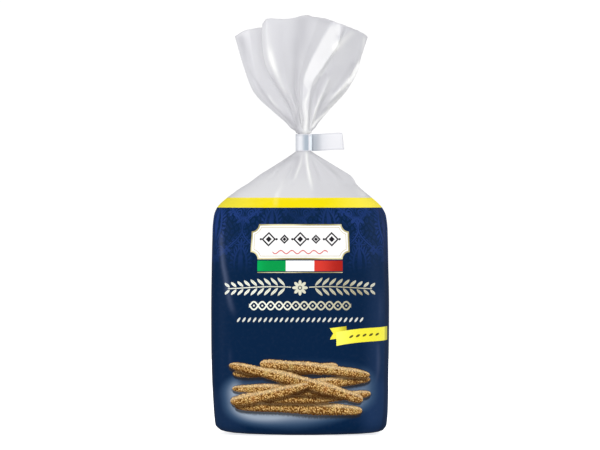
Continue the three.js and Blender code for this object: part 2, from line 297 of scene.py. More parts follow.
BACK_FOLDS = [  # on round the back to the left outline again
    ([5.0, 15.5, 27.4, 36.5, 41.5, 44.5], [2.0, 5.0, 7.5, 8.8, 9.6, 9.8], 312.6),
    ([4.2, 10.4, 19.4, 26.8, 30.6, 32.5], [3.2, 5.2, 7.0, 8.2, 9.0, 9.2], 313.4),
    ([3.6, 8.6, 16.4, 22.6, 26.2, 27.6], [3.9, 8.2, 12.8, 16.8, 19.6, 21.0], 316.0),
    ([2.4, 6.2, 11.2, 14.6, 16.4, 17.2], [4.7, 9.8, 15.8, 21.2, 25.0, 27.0], 319.8),
    ([0.9, 2.5, 4.0, 4.9, 5.0, 4.8], [5.2, 9.0, 13.2, 17.2, 20.0, 21.8], 321.0),
    ([-0.6, -1.5, -2.8, -3.7, -4.2, -4.4], [5.3, 7.8, 10.4, 13.0, 15.4, 17.0], 320.8),
    ([-2.0, -5.0, -9.0, -11.8, -13.4, -14.2], [4.9, 9.4, 15.2, 20.6, 24.4, 26.6], 322.0),
    ([-3.0, -8.2, -15.2, -20.2, -22.8, -23.8], [4.4, 8.8, 14.0, 19.0, 22.6, 24.4], 319.8),
    ([-3.9, -10.2, -18.6, -25.0, -28.4, -30.0], [3.6, 6.6, 10.0, 13.6, 16.2, 17.4], 317.4),
    ([-4.5, -13.6, -23.4, -29.6, -33.2, -35.0], [2.9, 4.4, 6.4, 7.8, 8.8, 9.2], 314.6),
    ([-5.1, -19.0, -32.8, -40.6, -45.6, -48.0], [1.8, 4.0, 6.6, 8.6, 9.8, 10.2], 312.6),
]
# the outline from the front: height, left reach, right reach
OUTLINE = np.array([
    [237.0, -6.2, 6.2], [238.5, -6.5, 6.3], [241.3, -10.4, 9.0], [244.8, -13.4, 11.4], [251.1, -20.5, 16.6], [257.3, -27.7, 22.0],
    [263.6, -34.6, 28.1], [269.9, -39.6, 33.6], [276.2, -42.7, 37.6], [282.5, -45.0, 41.2],
    [288.8, -47.1, 43.8], [295.1, -49.1, 44.9], [304.6, -51.9, 48.0], [314.6, -54.8, 51.1],
])
FOLDS = FRONT_FOLDS + BACK_FOLDS
NF = len(FOLDS)
NT = 88
T = (np.linspace(0, 1, NT + 1)) ** 1.1


def steps(p):
    return np.hypot(*(np.roll(p, -1, 0) - p).T)


# how much of the film lies before each fold: a quarter of it is at each outline
tips = np.array([[f[0][-1], f[1][-1]] for f in FOLDS])
mids = np.array([[f[0][3], f[1][3]] for f in FOLDS])
gap = 0.6 * steps(tips) + 0.4 * steps(mids)
nfront = len(FRONT_FOLDS) - 1
gap[:nfront] *= 0.5 / gap[:nfront].sum()
gap[nfront:] *= 0.5 / gap[nfront:].sum()
fold_u = np.concatenate([[0], np.cumsum(gap)])  # 0 at the left outline


def closed_curve(vals, us, u):
    """Periodic cubic (finite-difference tangents) through vals at us, at u."""
    n = len(vals)
    vals = np.asarray(vals, float)
    us = np.asarray(us[:n], float)
    h = np.diff(np.append(us, 1.0 + us[0]))
    d = (np.roll(vals, -1) - vals) / h
    hm = np.roll(h, 1)
    m = (np.roll(d, 1) * h + d * hm) / (h + hm)
    x = (u - us[0]) % 1.0 + us[0]
    i = np.clip(np.searchsorted(us, x, side="right") - 1, 0, n - 1)
    t = (x - us[i]) / h[i]
    j = (i + 1) % n
    t2, t3 = t * t, t * t * t
    return (
        (2 * t3 - 3 * t2 + 1) * vals[i]
        + (t3 - 2 * t2 + t) * h[i] * m[i]
        + (-2 * t3 + 3 * t2) * vals[j]
        + (t3 - t2) * h[j % n] * 0
        + (t3 - t2) * h[i] * m[j]
    )


def flat_facets(vals, us, u):
    """Straight runs from fold to fold."""
    return np.interp(u % 1.0, us, np.append(vals, vals[0]))


def blur(row, sigma):
    n = int(math.ceil(3 * sigma))
    k = np.exp(-0.5 * (np.arange(-n, n + 1) / sigma) ** 2)
    k /= k.sum()
    return np.convolve(np.concatenate([row[-n:], row, row[:n]]), k, "valid")


u_fold = (U + 0.25) % 1.0
FLAT = 0.9  # how flat the facets between folds are
FACET_HIGHLIGHT = 0.465
fan = np.zeros((NT + 1, NU, 3))
edge_f = np.array([f[2] for f in FOLDS])
edge_z = blur(flat_facets(edge_f, fold_u, u_fold), 1.6)
edge_z += 0.3 * np.sin(2 * math.pi * 23 * U + 1.0) * np.sin(2 * math.pi * 4 * U)
neck_ang = 2 * math.pi * U
for k, t in enumerate(T):
    zf = NECK_HIGH + t * (edge_f - NECK_HIGH)
    xs = [pchip(Z_KNOTS, f[0], z) for f, z in zip(FOLDS, zf)]
    ys = [pchip(Z_KNOTS, f[1], z) for f, z in zip(FOLDS, zf)]
    x = FLAT * flat_facets(xs, fold_u, u_fold) + (1 - FLAT) * closed_curve(xs, fold_u, u_fold)
    y = FLAT * flat_facets(ys, fold_u, u_fold) + (1 - FLAT) * closed_curve(ys, fold_u, u_fold)
    x, y = blur(x, 0.9), blur(y, 0.9)
    w = smooth(0.0, 0.06, t)
    nr = NECK_R - 0.75 + 60 * t
    x = (nr * np.sin(neck_ang)) * (1 - w) + x * w
    y = (-nr * np.cos(neck_ang)) * (1 - w) + y * w
    # gathers that start at the closure and die out up the film
    ph = 2 * math.pi * 31 * U + 1.3 * np.sin(2 * math.pi * 3 * U + 0.5) + 0.9 * np.sin(2 * math.pi * 5 * U)
    amp = 0.25 + 0.75 * smooth(0, 0.12, t) * (1 - smooth(0.12, 0.5, t))
    amp = amp * (0.55 + 0.45 * np.sin(2 * math.pi * 7 * U + 1.0))
    amp *= 1 - 0.9 * smooth(0.3, 0.6, t)
    rad = np.hypot(x, y)
    ridge = (0.5 + 0.5 * np.cos(ph)) ** 1.6 - 0.4
    x = x * (1 + amp * ridge / rad)
    y = y * (1 + amp * ridge / rad)
    z = NECK_HIGH + t * (edge_z - NECK_HIGH)
    if t > 0.005:
        for side, col_ in ((np.argmin(x), 1), (np.argmax(x), 2)):
            want = pchip(OUTLINE[:, 0], OUTLINE[:, col_], z[side])
            x = x + (want - x[side]) * smooth(0.45, 1.0, x / x[side])
    fan[k, :, 0], fan[k, :, 1], fan[k, :, 2] = x, y, z
fan[:, :, 0] += NECK_X
# the cut edge of the front wanders a little: mm right, mm up
TRIM = [(-55.0, 0.4), (-50.2, 0.45), (-47.1, 0.4), (-43.9, 0.25), (-37.6, 0.25), (-33.0, 0.1), (-28.1, -0.2), (-24.9, -0.45), (-21.7, 0.0), (-18.6, 0.3), (-15.4, 0.05), (-12.3, -0.5), (-9.1, -0.5), (-5.9, -0.35), (-2.8, -0.65), (0.4, -0.3), (3.6, 0.0), (6.7, 0.45), (9.9, -0.3), (13.0, -0.15), (16.2, -0.25), (19.4, 0.05), (22.5, 0.45), (25.7, 0.65), (28.9, -0.55), (32.0, -0.65), (35.2, -0.25), (38.4, 0.25), (41.5, 0.6), (44.7, 0.65), (47.8, -0.2), (51.0, 0.0), (56.0, 0.0)]
trim = pchip([c_[0] for c_ in TRIM], [c_[1] for c_ in TRIM], fan[-1, :, 0]) * smooth(1.5, -1.5, fan[-1, :, 1])
fan[:, :, 2] += trim[None, :] * smooth(0.7, 1.0, np.asarray(T))[:, None]
for k in range(1, NT + 1):
    rings.append(fan[k])
    kinds.append(1)

R = np.array(rings)  # rings x NU x 3

# ---- small relief along the normal: filling under the print, pinches on the shoulder, the back seam
def normals_of(grid):
    du = np.roll(grid, -1, 1) - np.roll(grid, 1, 1)
    dv = np.gradient(grid, axis=0)
    n = np.cross(du, dv)
    return n / np.maximum(np.linalg.norm(n, axis=2, keepdims=True), 1e-9)


first = BASE_RINGS - 1
N = normals_of(R)
Z = R[:, :, 2]
p = np.stack([np.broadcast_to(S_MM[None, :], Z.shape), Z, np.zeros_like(Z)], 2)
relief = np.zeros_like(Z)
body = (np.arange(len(R)) >= first)[:, None] & (np.arange(len(R)) < n_body)[:, None]
q = np.stack([np.cos(2 * math.pi * U)[None, :] * 60 + 0 * Z, np.sin(2 * math.pi * U)[None, :] * 60 + 0 * Z, Z], 2)
relief += np.where(body, 0.35 * ripple(q / 22.0, 3) * smooth(4, 30, Z) * (1 - smooth(150, 190, Z) * 0.6), 0)
# the shoulder's film is slack: long shallow waves that run towards the neck
half_w = pchip(STATIONS[:, 0], STATIONS[:, 1], Z)
cxz = pchip(STATIONS[:, 0], STATIONS[:, 4], Z)
share = (R[:, :, 0] - cxz) / half_w
front = smooth(2, -2, R[:, :, 1])
for top, low, width, height, end in PINCHES:
    k = smooth(NECK_LOW, 195, Z)
    c = top * (1 - k) + low * k
    w = width * (0.35 + 0.65 * (Z < NECK_LOW))
    prof = np.exp(-np.abs((share - c) / w) ** 1.5)
    relief += np.where(body, front * height * prof * smooth(end, end + 14, Z) * smooth(NECK_LOW + 1, NECK_LOW - 8, Z), 0)

# ---- creases and streaks over the front, each a line seen from the front: points (mm right, mm up), half width at its
# start and end, the painted light along it (above 0 a painted highlight that whitens the film, below 0 painted shade
# that greys it), and how far it stands out as relief, from start to end
CREASES = [
    # the fan, left to right
    ([(-47.7, 314.9), (-45.5, 307.7), (-43.1, 299.8), (-40.3, 291.9), (-37.4, 284.0), (-33.8, 276.1)],
     (3.2, 2.4), (-1.3, -0.36, 0.24), (-0.1, -0.2, -0.1)),
    ([(-39.3, 317.2), (-38.2, 306.9), (-37.0, 296.7), (-35.4, 288.8), (-33.0, 280.8), (-29.9, 272.9)],
     (2.6, 2.0), (-0.18, 0.09, -0.08), (0.15, 0.2, 0.0)),
    ([(-31.4, 309.3), (-29.3, 299.8), (-26.2, 291.1), (-22.3, 282.4)],
     (1.5, 1.5), (0.09, 0.28, 0.29), (0.0, 0.0)),
    ([(-30.5, 318.8), (-29.1, 306.9), (-27.5, 296.7), (-24.7, 288.8), (-21.3, 281.6), (-17.2, 273.7), (-11.9, 265.8), (-7.7, 258.7), (-3.3, 249.2)],
     (1.6, 1.3), (0.11, -0.25, -0.48), (-0.05, -0.15, 0.0)),
    ([(-40.8, 288.8), (-36.9, 280.8), (-31.8, 272.9), (-27.3, 266.6), (-22.7, 260.3), (-16.1, 254.0), (-9.1, 247.6), (-3.7, 242.1)],
     (1.2, 1.3), (-0.27, -0.65, -0.68, -0.52, -1.06), (-0.2, -0.3, -0.2)),
    ([(-25.1, 267.4), (-20.5, 260.3), (-15.0, 254.0)],
     (1.0, 1.0), (0.44, 0.56, 0.04), (0.0, 0.15, 0.0)),
    ([(-26.8, 325.9), (-26.3, 318.0), (-25.5, 310.1), (-24.0, 303.0), (-22.1, 295.1), (-19.4, 287.2), (-16.3, 279.3), (-12.5, 272.1), (-9.0, 265.8)],
     (2.9, 1.0), (0.16, 0.32, 1.33, 0.57, 0.25), (0.1, 0.35, 0.5, 0.3, 0.0)),
    ([(2.2, 332.2), (1.7, 323.6), (1.3, 314.1), (0.2, 303.0), (-0.4, 291.9), (-0.3, 280.8), (0.4, 269.8), (0.4, 258.7), (0.1, 249.2)],
     (6.0, 1.8), (-0.76, -0.63, -0.04, -0.05, 0.44), (-0.2, -0.1, 0.0)),
    ([(-3.0, 318.8), (-2.4, 295.1), (-2.5, 279.3), (-3.3, 263.4), (-2.5, 247.6)],
     (3.0, 1.8), (-0.01, -0.59, 0.21), (-0.2, -0.15, 0.0)),
    ([(0.2, 331.1), (8.1, 329.1), (16.0, 326.9), (23.9, 325.2), (30.2, 323.1)],
     (2.8, 2.0), (0.09, -0.38, -0.49), (0.0, 0.0)),
    ([(8.6, 276.9), (8.1, 272.9), (7.1, 269.8), (6.6, 266.6), (5.3, 263.4), (4.8, 260.3), (4.7, 255.5), (5.3, 250.8), (5.3, 246.1), (4.7, 242.9), (4.5, 239.7), (3.9, 235.8)],
     (1.1, 1.3), (-0.4, 0.52, 0.66, 1.05), (0.1, 0.12, 0.1)),
    ([(3.6, 242.9), (2.6, 235.8)],
     (3.6, 4.2), (0.29, -0.11), (0.0, 0.0)),
    ([(7.9, 268.2), (7.8, 263.4), (8.2, 257.1), (8.8, 249.2), (8.6, 241.3)],
     (1.0, 1.0), (-0.07, 0.21, 0.32), (0.0, 0.0)),
    ([(21.7, 285.6), (18.1, 280.1), (16.2, 275.3), (14.6, 270.6), (13.8, 265.8), (13.1, 261.1), (12.3, 256.3)],
     (2.2, 1.4), (-0.63, -0.57, -0.73, -0.17), (-0.2, -0.3, -0.1)),
    ([(28.7, 303.0), (25.7, 297.5), (23.3, 292.7), (19.3, 286.8), (15.9, 281.6)],
     (1.1, 1.1), (0.25, 0.23, 0.87), (0.0, 0.0)),
    ([(27.5, 302.2), (30.2, 306.2), (33.6, 310.1), (37.0, 313.3), (40.4, 316.0), (43.5, 318.4)],
     (2.6, 2.2), (0.51, 0.82, 0.45, 0.27), (0.3, 0.4, 0.2)),
    ([(23.6, 281.6), (21.3, 276.1), (19.8, 272.9), (18.5, 269.8), (16.9, 266.6), (15.4, 263.4), (14.0, 259.9), (12.4, 255.5), (11.3, 250.8), (10.7, 245.3), (10.7, 240.5)],
     (0.9, 0.9), (0.39, 0.4, 1.32, 0.91, 0.3), (0.3, 0.7, 0.6, 0.3)),
    ([(35.8, 306.9), (32.6, 298.2), (28.7, 290.3)],
     (5.0, 4.0), (0.11, 0.14), (0.0, 0.0)),
    ([(43.6, 293.5), (40.2, 287.2), (36.5, 281.6), (32.6, 276.5), (29.0, 272.5), (24.7, 269.0)],
     (2.2, 1.6), (-0.81, -0.47, -0.4, -0.56), (-0.1, -0.3, -0.2)),
    ([(40.2, 280.8), (36.4, 276.1), (33.7, 272.9), (30.5, 269.8), (26.9, 266.2), (23.0, 261.9)],
     (1.2, 1.2), (1.6, 1.15, 0.05), (0.3, 0.6, 0.1)),
    ([(39.2, 273.7), (36.1, 269.4), (32.4, 265.0), (27.0, 260.3), (21.7, 255.9)],
     (2.2, 1.8), (0.64, 0.64, 0.87, 0.57), (0.0, 0.0)),
    ([(50.9, 313.3), (50.5, 306.9), (49.3, 298.2), (46.4, 290.3), (42.7, 284.0)],
     (1.0, 1.0), (0.7, 0.32, 1.66), (0.0, 0.0)),
    ([(37.4, 321.6), (42.1, 319.6), (46.9, 318.0)],
     (1.3, 1.3), (-0.51, -0.43), (0.0, 0.0)),
    ([(24.3, 255.9), (17.4, 250.4), (12.4, 245.7), (9.0, 240.9)],
     (0.9, 0.8), (1.7, 1.48, 1.65), (0.3, 0.5, 0.2)),
    ([(-11.7, 253.2), (-7.3, 247.6), (-3.5, 242.1), (-1.4, 237.4)],
     (1.3, 1.8), (-0.44, -0.48, -1.4), (0.0, 0.0)),
    ([(-16.4, 325.1), (-14.8, 303.0), (-13.2, 283.2)],
     (3.0, 2.6), (-0.16, -0.18, -0.22), (0.0, 0.0)),
    ([(33.2, 291.9), (27.7, 279.3), (20.9, 267.4)],
     (4.0, 3.0), (-0.12, 0.11, 0.3), (0.0, 0.0)),
    ([(46.8, 292.5), (45.0, 287.5), (42.7, 282.8), (40.0, 278.6), (37.3, 275.3)],
     (1.7, 1.7), (0.1, 0.89, 1.16, 0.29), (0.0, 0.0)),
    ([(47.0, 295.1), (45.5, 289.5), (43.3, 284.8), (40.9, 280.1), (37.1, 276.1)],
     (1.0, 1.0), (0.25, 1.57, 1.64, 0.29), (0.0, 0.0)),
    ([(14.3, 265.8), (13.0, 260.3), (11.0, 254.0), (10.6, 247.6)],
     (1.0, 1.0), (0.26, -0.18, -0.21), (0.0, 0.0)),
    ([(-1.6, 261.9), (0.1, 257.1), (1.5, 250.8), (1.8, 246.1), (1.8, 242.1)],
     (0.9, 1.0), (0.14, -0.06, 0.27, 0.5), (0.1, 0.45, 0.45, 0.1)),
    ([(-2.3, 254.0), (-2.3, 248.4), (-1.3, 242.1)],
     (1.1, 1.1), (-0.8, -0.76, -0.03), (0.0, 0.0)),
    ([(1.4, 237.6), (4.9, 237.5), (9.3, 237.7)],
     (1.3, 1.3), (0.38, 0.72, 1.47), (0.0, 0.0)),
    ([(27.5, 303.8), (29.1, 309.3), (30.4, 314.9)],
     (1.8, 1.8), (0.43, -0.21, -0.49), (0.0, 0.0)),
    # the shoulder
    ([(5.4, 223.1), (5.7, 216.0), (6.8, 208.1), (8.1, 201.8), (9.7, 194.7), (10.9, 189.9)],
     (1.0, 1.0), (0.89, 1.12, -0.05), (0.5, 0.9, 0.2)),
    ([(2.2, 220.0), (0.6, 212.8), (-2.2, 205.7), (-4.2, 200.2), (-6.1, 196.2)],
     (0.9, 0.9), (0.33, 0.77, -0.26), (0.3, 0.6, 0.0)),
    ([(-7.0, 212.0), (-11.7, 202.6), (-14.8, 194.7), (-17.6, 189.1), (-18.8, 184.4), (-19.2, 179.6)],
     (1.0, 1.7), (-0.08, 0.16, 0.85), (0.2, 0.4, 0.3)),
    ([(-17.2, 211.3), (-23.5, 203.3), (-31.4, 194.7)],
     (1.3, 1.6), (0.07, 0.06, 0.06), (0.2, 0.35, 0.0)),
    ([(-1.0, 220.0), (-2.7, 213.6), (-4.4, 206.5), (-6.1, 200.2)],
     (1.8, 2.0), (-0.79, -0.42, -0.13), (-0.2, -0.2, 0.0)),
    ([(-2.6, 219.8), (-9.3, 215.7), (-17.2, 211.4), (-26.7, 205.3), (-35.4, 199.8), (-42.5, 195.5), (-50.4, 189.9)],
     (1.8, 2.0), (-0.76, -0.5, -0.32, -0.06), (0.0, 0.0)),
    ([(42.9, 197.0), (46.9, 192.3), (51.6, 187.5)],
     (2.2, 2.2), (0.03, 0.67), (0.0, 0.0)),
    # the body
    ([(-61.9, 159.9), (-61.9, 149.6), (-61.1, 140.1), (-60.3, 132.2), (-58.7, 124.3), (-56.7, 111.6), (-54.8, 102.1), (-52.0, 94.2)],
     (1.4, 1.7), (0.5, 0.95, 0.4), (0.5, 0.8, 0.2)),
    ([(61.9, 71.3), (62.3, 57.8), (61.9, 48.4), (60.3, 38.9)],
     (1.4, 1.2), (0.2, 0.4, 0.1), (0.3, 0.6, 0.1)),
    ([(63.9, 113.2), (63.9, 95.8), (63.5, 81.6)],
     (1.6, 1.4), (0.05, 0.18, 0.05), (0.2, 0.4, 0.1)),
    ([(-54.4, 69.7), (-54.8, 57.8), (-55.2, 46.8)],
     (1.3, 1.2), (0.0, 0.12, 0.05), (0.1, 0.3, 0.0)),
]
VIEW_FROM = 2200.0
far = VIEW_FROM / (VIEW_FROM + R[:, :, 1])
FX = R[:, :, 0] * far
FZ = 164.6 + (Z - 164.6) * far + R[:, :, 1] * 0.0175
facing = (np.abs(S_MM) < GIRTH / 4)[None, :] & (R[:, :, 1] < 6)


def line_distance(pts):
    """Distance of every point of the skin from a line on the front, and the share along the line (0 to 1)."""
    pts = np.array(pts, float)
    seg = np.hypot(*np.diff(pts, axis=0).T)
    at_len = np.concatenate([[0], np.cumsum(seg)])
    best = np.full(FX.shape, 1e9)
    where = np.zeros(FX.shape)
    for i in range(len(seg)):
        d = pts[i + 1] - pts[i]
        t_ = ((FX - pts[i, 0]) * d[0] + (FZ - pts[i, 1]) * d[1]) / (seg[i] ** 2)
        t_ = np.clip(t_, 0, 1)
        dd = np.hypot(FX - pts[i, 0] - t_ * d[0], FZ - pts[i, 1] - t_ * d[1])
        near = dd < best
        best = np.where(near, dd, best)
        where = np.where(near, (at_len[i] + t_ * seg[i]) / at_len[-1], where)
    return best, where


# painted light and shade for every point of the skin: above 0 a painted highlight, below 0 painted shade
painted_light = np.zeros_like(Z)
for pts, (w0, w1), tints, rises in CREASES:
    d, share_ = line_distance(pts)
    w = w0 + (w1 - w0) * share_
    prof = np.exp(-((d / w) ** 2) * 0.7) * facing
    ends = smooth(0, 0.08, share_ + 1e-3) * smooth(1.0, 0.92, share_ - 1e-3)
    tint = pchip(np.linspace(0, 1, len(tints)), tints, share_)
    rise_ = pchip(np.linspace(0, 1, len(rises)), rises, share_)
    painted_light += tint * prof * (0.35 + 0.65 * ends)
    relief += rise_ * prof * ends
# painted highlight on the broad facet right of the middle, which turns to the light
FACET_LEFT = [(238.9, 5.9), (247.6, 3.5), (255.5, 2.8), (261.1, 2.4), (266.6, 4.9), (270.6, 6.2), (273.7, 4.7), (277.7, 2.9), (282.4, 3.6), (287.2, 5.3), (295.1, 9.0), (303.0, 13.3), (310.1, 17.0), (318.8, 22.4), (325.1, 26.1), (329.9, 27.9)]
FACET_RIGHT = [(238.9, 6.7), (251.6, 6.7), (259.5, 4.7), (265.8, 6.4), (272.9, 9.3), (278.9, 14.2), (283.2, 15.6), (286.8, 17.5), (293.5, 21.9), (298.2, 25.5), (303.0, 28.9), (306.2, 31.3), (309.3, 30.5), (312.5, 30.2), (315.6, 31.5), (318.8, 31.6), (323.6, 32.0), (329.9, 33.4)]
fl = pchip([p_[0] for p_ in FACET_LEFT], [p_[1] for p_ in FACET_LEFT], FZ)
fr_ = pchip([p_[0] for p_ in FACET_RIGHT], [p_[1] for p_ in FACET_RIGHT], FZ)
in_facet = smooth(-1.1, 1.3, FX - fl) * smooth(0.5, -0.5, FX - fr_) * facing * smooth(238, 246, FZ)
painted_light += in_facet * FACET_HIGHLIGHT * (0.55 + 0.45 * smooth(262, 285, FZ) + 0.2 * smooth(296, 312, FZ))
# the back gets the same creases, mirrored and softer: painted highlights and shade, and relief
behind = (np.abs(S_MM) >= GIRTH / 4)[None, :] & (R[:, :, 1] > -6)
front_FX = FX
FX = 2 * NECK_X - front_FX
for pts, (w0, w1), tints, rises in CREASES:
    if min(z_ for x_, z_ in pts) > 176:
        d, share_ = line_distance(pts)
        w = (w0 + (w1 - w0) * share_) * 1.25
        prof = np.exp(-((d / w) ** 2) * 0.7) * behind
        ends = smooth(0, 0.08, share_ + 1e-3) * smooth(1.0, 0.92, share_ - 1e-3)
        painted_light += 0.6 * pchip(np.linspace(0, 1, len(tints)), tints, share_) * prof * (0.35 + 0.65 * ends)
        relief += 0.6 * pchip(np.linspace(0, 1, len(rises)), rises, share_) * prof * ends
painted_light += 0.7 * FACET_HIGHLIGHT * smooth(-1.1, 1.3, FX - fl) * smooth(0.5, -0.5, FX - fr_) * behind * smooth(238, 246, FZ)
FX = front_FX
# painted light: the shoulder's film is a little whiter towards the print on the left
painted_light += 0.22 * facing * smooth(212, 190, FZ) * smooth(185.7, 186.0, FZ) * smooth(14, 6, FX) * smooth(-62, -40, FX)
# a soft crease down the middle of either side, where the gusset folds in
gusset = np.exp(-(((np.abs(S_MM) - GIRTH / 4) / 1.6) ** 2))[None, :]
relief -= np.where(body, 0.7 * gusset * smooth(60, 120, Z) * smooth(200, 180, Z), 0)
relief += 0.5 * SEAM[None, :] * smooth(0.5, 6, Z) * np.where(np.arange(len(R)) >= first, 1, 0)[:, None]
R = R + N * relief[:, :, None]
R[:, :, 2] = np.maximum(R[:, :, 2], 0.0)

# ---- mesh: outer skin, rim, and the inside of the open fan down to the gathered neck
WALL = 0.26
N = normals_of(R)
inner_rows = list(range(len(R) - 1, n_neck + 3, -3))
inner = []
for r in inner_rows:
    inner.append(R[r] - N[r] * WALL)

verts = [np.array([0.0, 0.0, 0.55])]
grids = [R[r] for r in range(len(R))] + inner
allv = np.concatenate([np.array([[0.0, 0.0, 0.5]])] + grids + [
    np.array([[NECK_X, 0.0, float(inner[-1][:, 2].mean()) - 1.0]])
])
ring_count = len(grids)
film_s, film_v = [], []
along = np.concatenate([[0], np.cumsum(np.linalg.norm(np.diff(R[n_body - 1:, :, :], axis=0), axis=2).mean(1))])
quads, mats, uvs, bake = [], [], [], []


def vid(r, i):
    return 1 + r * NU + (i % NU)


U_next = np.append(U[1:], 1.0)
S_this = U * GIRTH
# ring height written in the print's map: real height on the body
V_ring = np.array([g[:, 2].mean() for g in grids])
V_ring[:first] = -np.linspace(BASE_RINGS, 1, BASE_RINGS)[: first]
outer_n = len(R)
# share up the bake map
lens = np.concatenate([[0], np.cumsum(np.linalg.norm(np.diff(R, axis=0), axis=2).mean(1))])
bake_v_outer = 0.01 + 0.68 * lens / lens[-1]
lens_i = np.concatenate([[0], np.cumsum(np.linalg.norm(np.diff(np.array(inner), axis=0), axis=2).mean(1))])
bake_v_inner = 0.99 - 0.28 * (1 - lens_i / lens_i[-1])
bake_v_inner = 0.71 + 0.28 * lens_i / lens_i[-1]

for r in range(ring_count - 1):
    if r == outer_n - 1:
        kind = 1
    else:
        kind = 1 if r >= outer_n - 1 else kinds[r]
    for i in range(NU):
        quads.append((vid(r, i), vid(r, i + 1), vid(r + 1, i + 1), vid(r + 1, i)))
        mats.append(kind)
        s0, s1 = U[i] * GIRTH, U_next[i] * GIRTH
        if s0 >= GIRTH / 2 - 1e-6:
            s0 -= GIRTH
            s1 -= GIRTH
        if r < outer_n - 1:
            v0, v1 = R[r, i, 2], R[r, (i + 1) % NU, 2]
            v2, v3 = R[r + 1, (i + 1) % NU, 2], R[r + 1, i, 2]
            b0, b1 = bake_v_outer[r], bake_v_outer[r + 1]
        else:
            v0 = v1 = v2 = v3 = 400.0
            if r == outer_n - 1:
                b0, b1 = 0.695, 0.71
            else:
                b0, b1 = bake_v_inner[r - outer_n], bake_v_inner[r - outer_n + 1]
        uvs += [(s0, v0), (s1, v1), (s1, v2), (s0, v3)]
        c0, c1 = 0.004 + 0.992 * U[i], 0.004 + 0.992 * U_next[i]
        bake += [(c0, b0), (c1, b0), (c1, b1), (c0, b1)]

tris, tri_mats = [], []
for i in range(NU):
    tris.append((0, vid(0, i + 1), vid(0, i)))
    tri_mats.append(0)
    s0 = U[i] * GIRTH
    uvs_t = [(S_MM[i], -20.0), (S_MM[i], -16.0), (S_MM[i], -16.0)]
    uvs += uvs_t
    c0, c1 = 0.004 + 0.992 * U[i], 0.004 + 0.992 * U_next[i]
    bake += [((c0 + c1) / 2, 0.001), (c1, bake_v_outer[0]), (c0, bake_v_outer[0])]
lastv = len(allv) - 1
for i in range(NU):
    tris.append((lastv, vid(ring_count - 1, i), vid(ring_count - 1, i + 1)))
    tri_mats.append(1)
    uvs += [(0, 400), (0, 400), (0, 400)]
    c0, c1 = 0.004 + 0.992 * U[i], 0.004 + 0.992 * U_next[i]
    bake += [((c0 + c1) / 2, 0.999), (c0, 0.99), (c1, 0.99)]

bag = mesh_object("film_bag", allv * MM, quads + tris)
me = bag.data
me.polygons.foreach_set("material_index", mats + tri_mats)
att = me.attributes.new("print_mm", "FLOAT_VECTOR", "CORNER")
arr = np.zeros((len(uvs), 3), np.float32)
arr[:, :2] = np.array(uvs)
att.data.foreach_set("vector", arr.ravel())
# the painted light and shade are stored on the mesh for the film's materials
painted_light_all = np.zeros(len(allv), np.float32)
painted_light_all[1 : 1 + R.shape[0] * NU] = np.clip(painted_light, -1.2, 2.0).ravel()
me.attributes.new("painted_light", "FLOAT", "POINT").data.foreach_set("value", painted_light_all)
layer = me.uv_layers.new(name="OFBake", do_init=False)
layer.uv.foreach_set("vector", np.array(bake, np.float32).ravel())
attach(bag, "root")
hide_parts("bag")
print("film verts", len(me.vertices), "faces", len(me.polygons), "girth", GIRTH, "top", R[:, :, 2].max())

# ------------------------------------------------------------------ closure strip
STRIP_LOW, STRIP_HIGH, STRIP_T = 223.1, 236.5, 0.55


def bezier(p, n):
    p = np.array(p, float)
    t = np.linspace(0, 1, n)[:, None]
    return (1 - t) ** 3 * p[0] + 3 * (1 - t) ** 2 * t * p[1] + 3 * (1 - t) * t * t * p[2] + t**3 * p[3]


loop_r = NECK_R + 0.54 + STRIP_T / 2
root_a, knee_a = math.radians(8), math.radians(-99)
root = np.array([loop_r * math.cos(root_a), loop_r * math.sin(root_a)])
# the tail leaves the loop's side, turns outward and runs level to its cut end
tail = np.concatenate([
    bezier([(31.3, -2.0), (25, -1.2), (19, 0.1), (14.5, 0.2)], 22)[:-1],
    bezier([(14.5, 0.2), (10.2, 0.3), (7.6, -2.2), (root[0] + 0.6, root[1] - 2.2)], 16)[:-1],
    bezier([(root[0] + 0.6, root[1] - 2.2), (root[0] + 0.35, root[1] - 1.4), (root[0] + 0.14, root[1] - 0.6), root], 6),
])
angs = np.linspace(root_a, 2 * math.pi + knee_a, 66)
loop = np.stack([loop_r * np.cos(angs), loop_r * np.sin(angs)], 1)
off = loop[-1]
# the front of the loop is drawn in flat to the crimp; the end springs forward off it, before the tail
flat = bezier([off, (off[0] + 0.75, off[1] + 0.05), (1.6, -5.3), (4.0, -4.0)], 16)
lip = bezier([flat[-1], (4.7, -3.65), (4.9, -4.6), (6.5, -6.1)], 12)
path = np.concatenate([tail, loop[1:], flat[1:], lip[1:]])
tan = np.gradient(path, axis=0)
tan /= np.linalg.norm(tan, axis=1, keepdims=True)
nor = np.stack([-tan[:, 1], tan[:, 0]], 1)
# section of the strip: rounded edges
sec = []
for a in np.linspace(-90, 90, 5):
    sec.append((math.cos(math.radians(a)) * 0.27, math.sin(math.radians(a)) * 0.27, 1))
rows = []
HB = (STRIP_HIGH - STRIP_LOW) / 2
prof = []
e = STRIP_T / 2
for s_, z_ in [(-1, -HB + 0.25), (-0.7, -HB + 0.06), (0, -HB), (0.7, -HB + 0.06), (1, -HB + 0.25)]:
    prof.append((s_ * e, z_))
for z_ in np.linspace(-HB + 1.2, HB - 1.2, 9):
    prof.append((e, z_))
for s_, z_ in [(1, HB - 0.25), (0.7, HB - 0.06), (0, HB), (-0.7, HB - 0.06), (-1, HB - 0.25)]:
    prof.append((s_ * e, z_))
for z_ in np.linspace(HB - 1.2, -HB + 1.2, 9):
    prof.append((-e, z_))
NP = len(prof)
cz = (STRIP_HIGH + STRIP_LOW) / 2
path_len = np.concatenate([[0], np.cumsum(np.hypot(*np.diff(path, axis=0).T))])
cv, cf, across, along_ = [], [], [], []
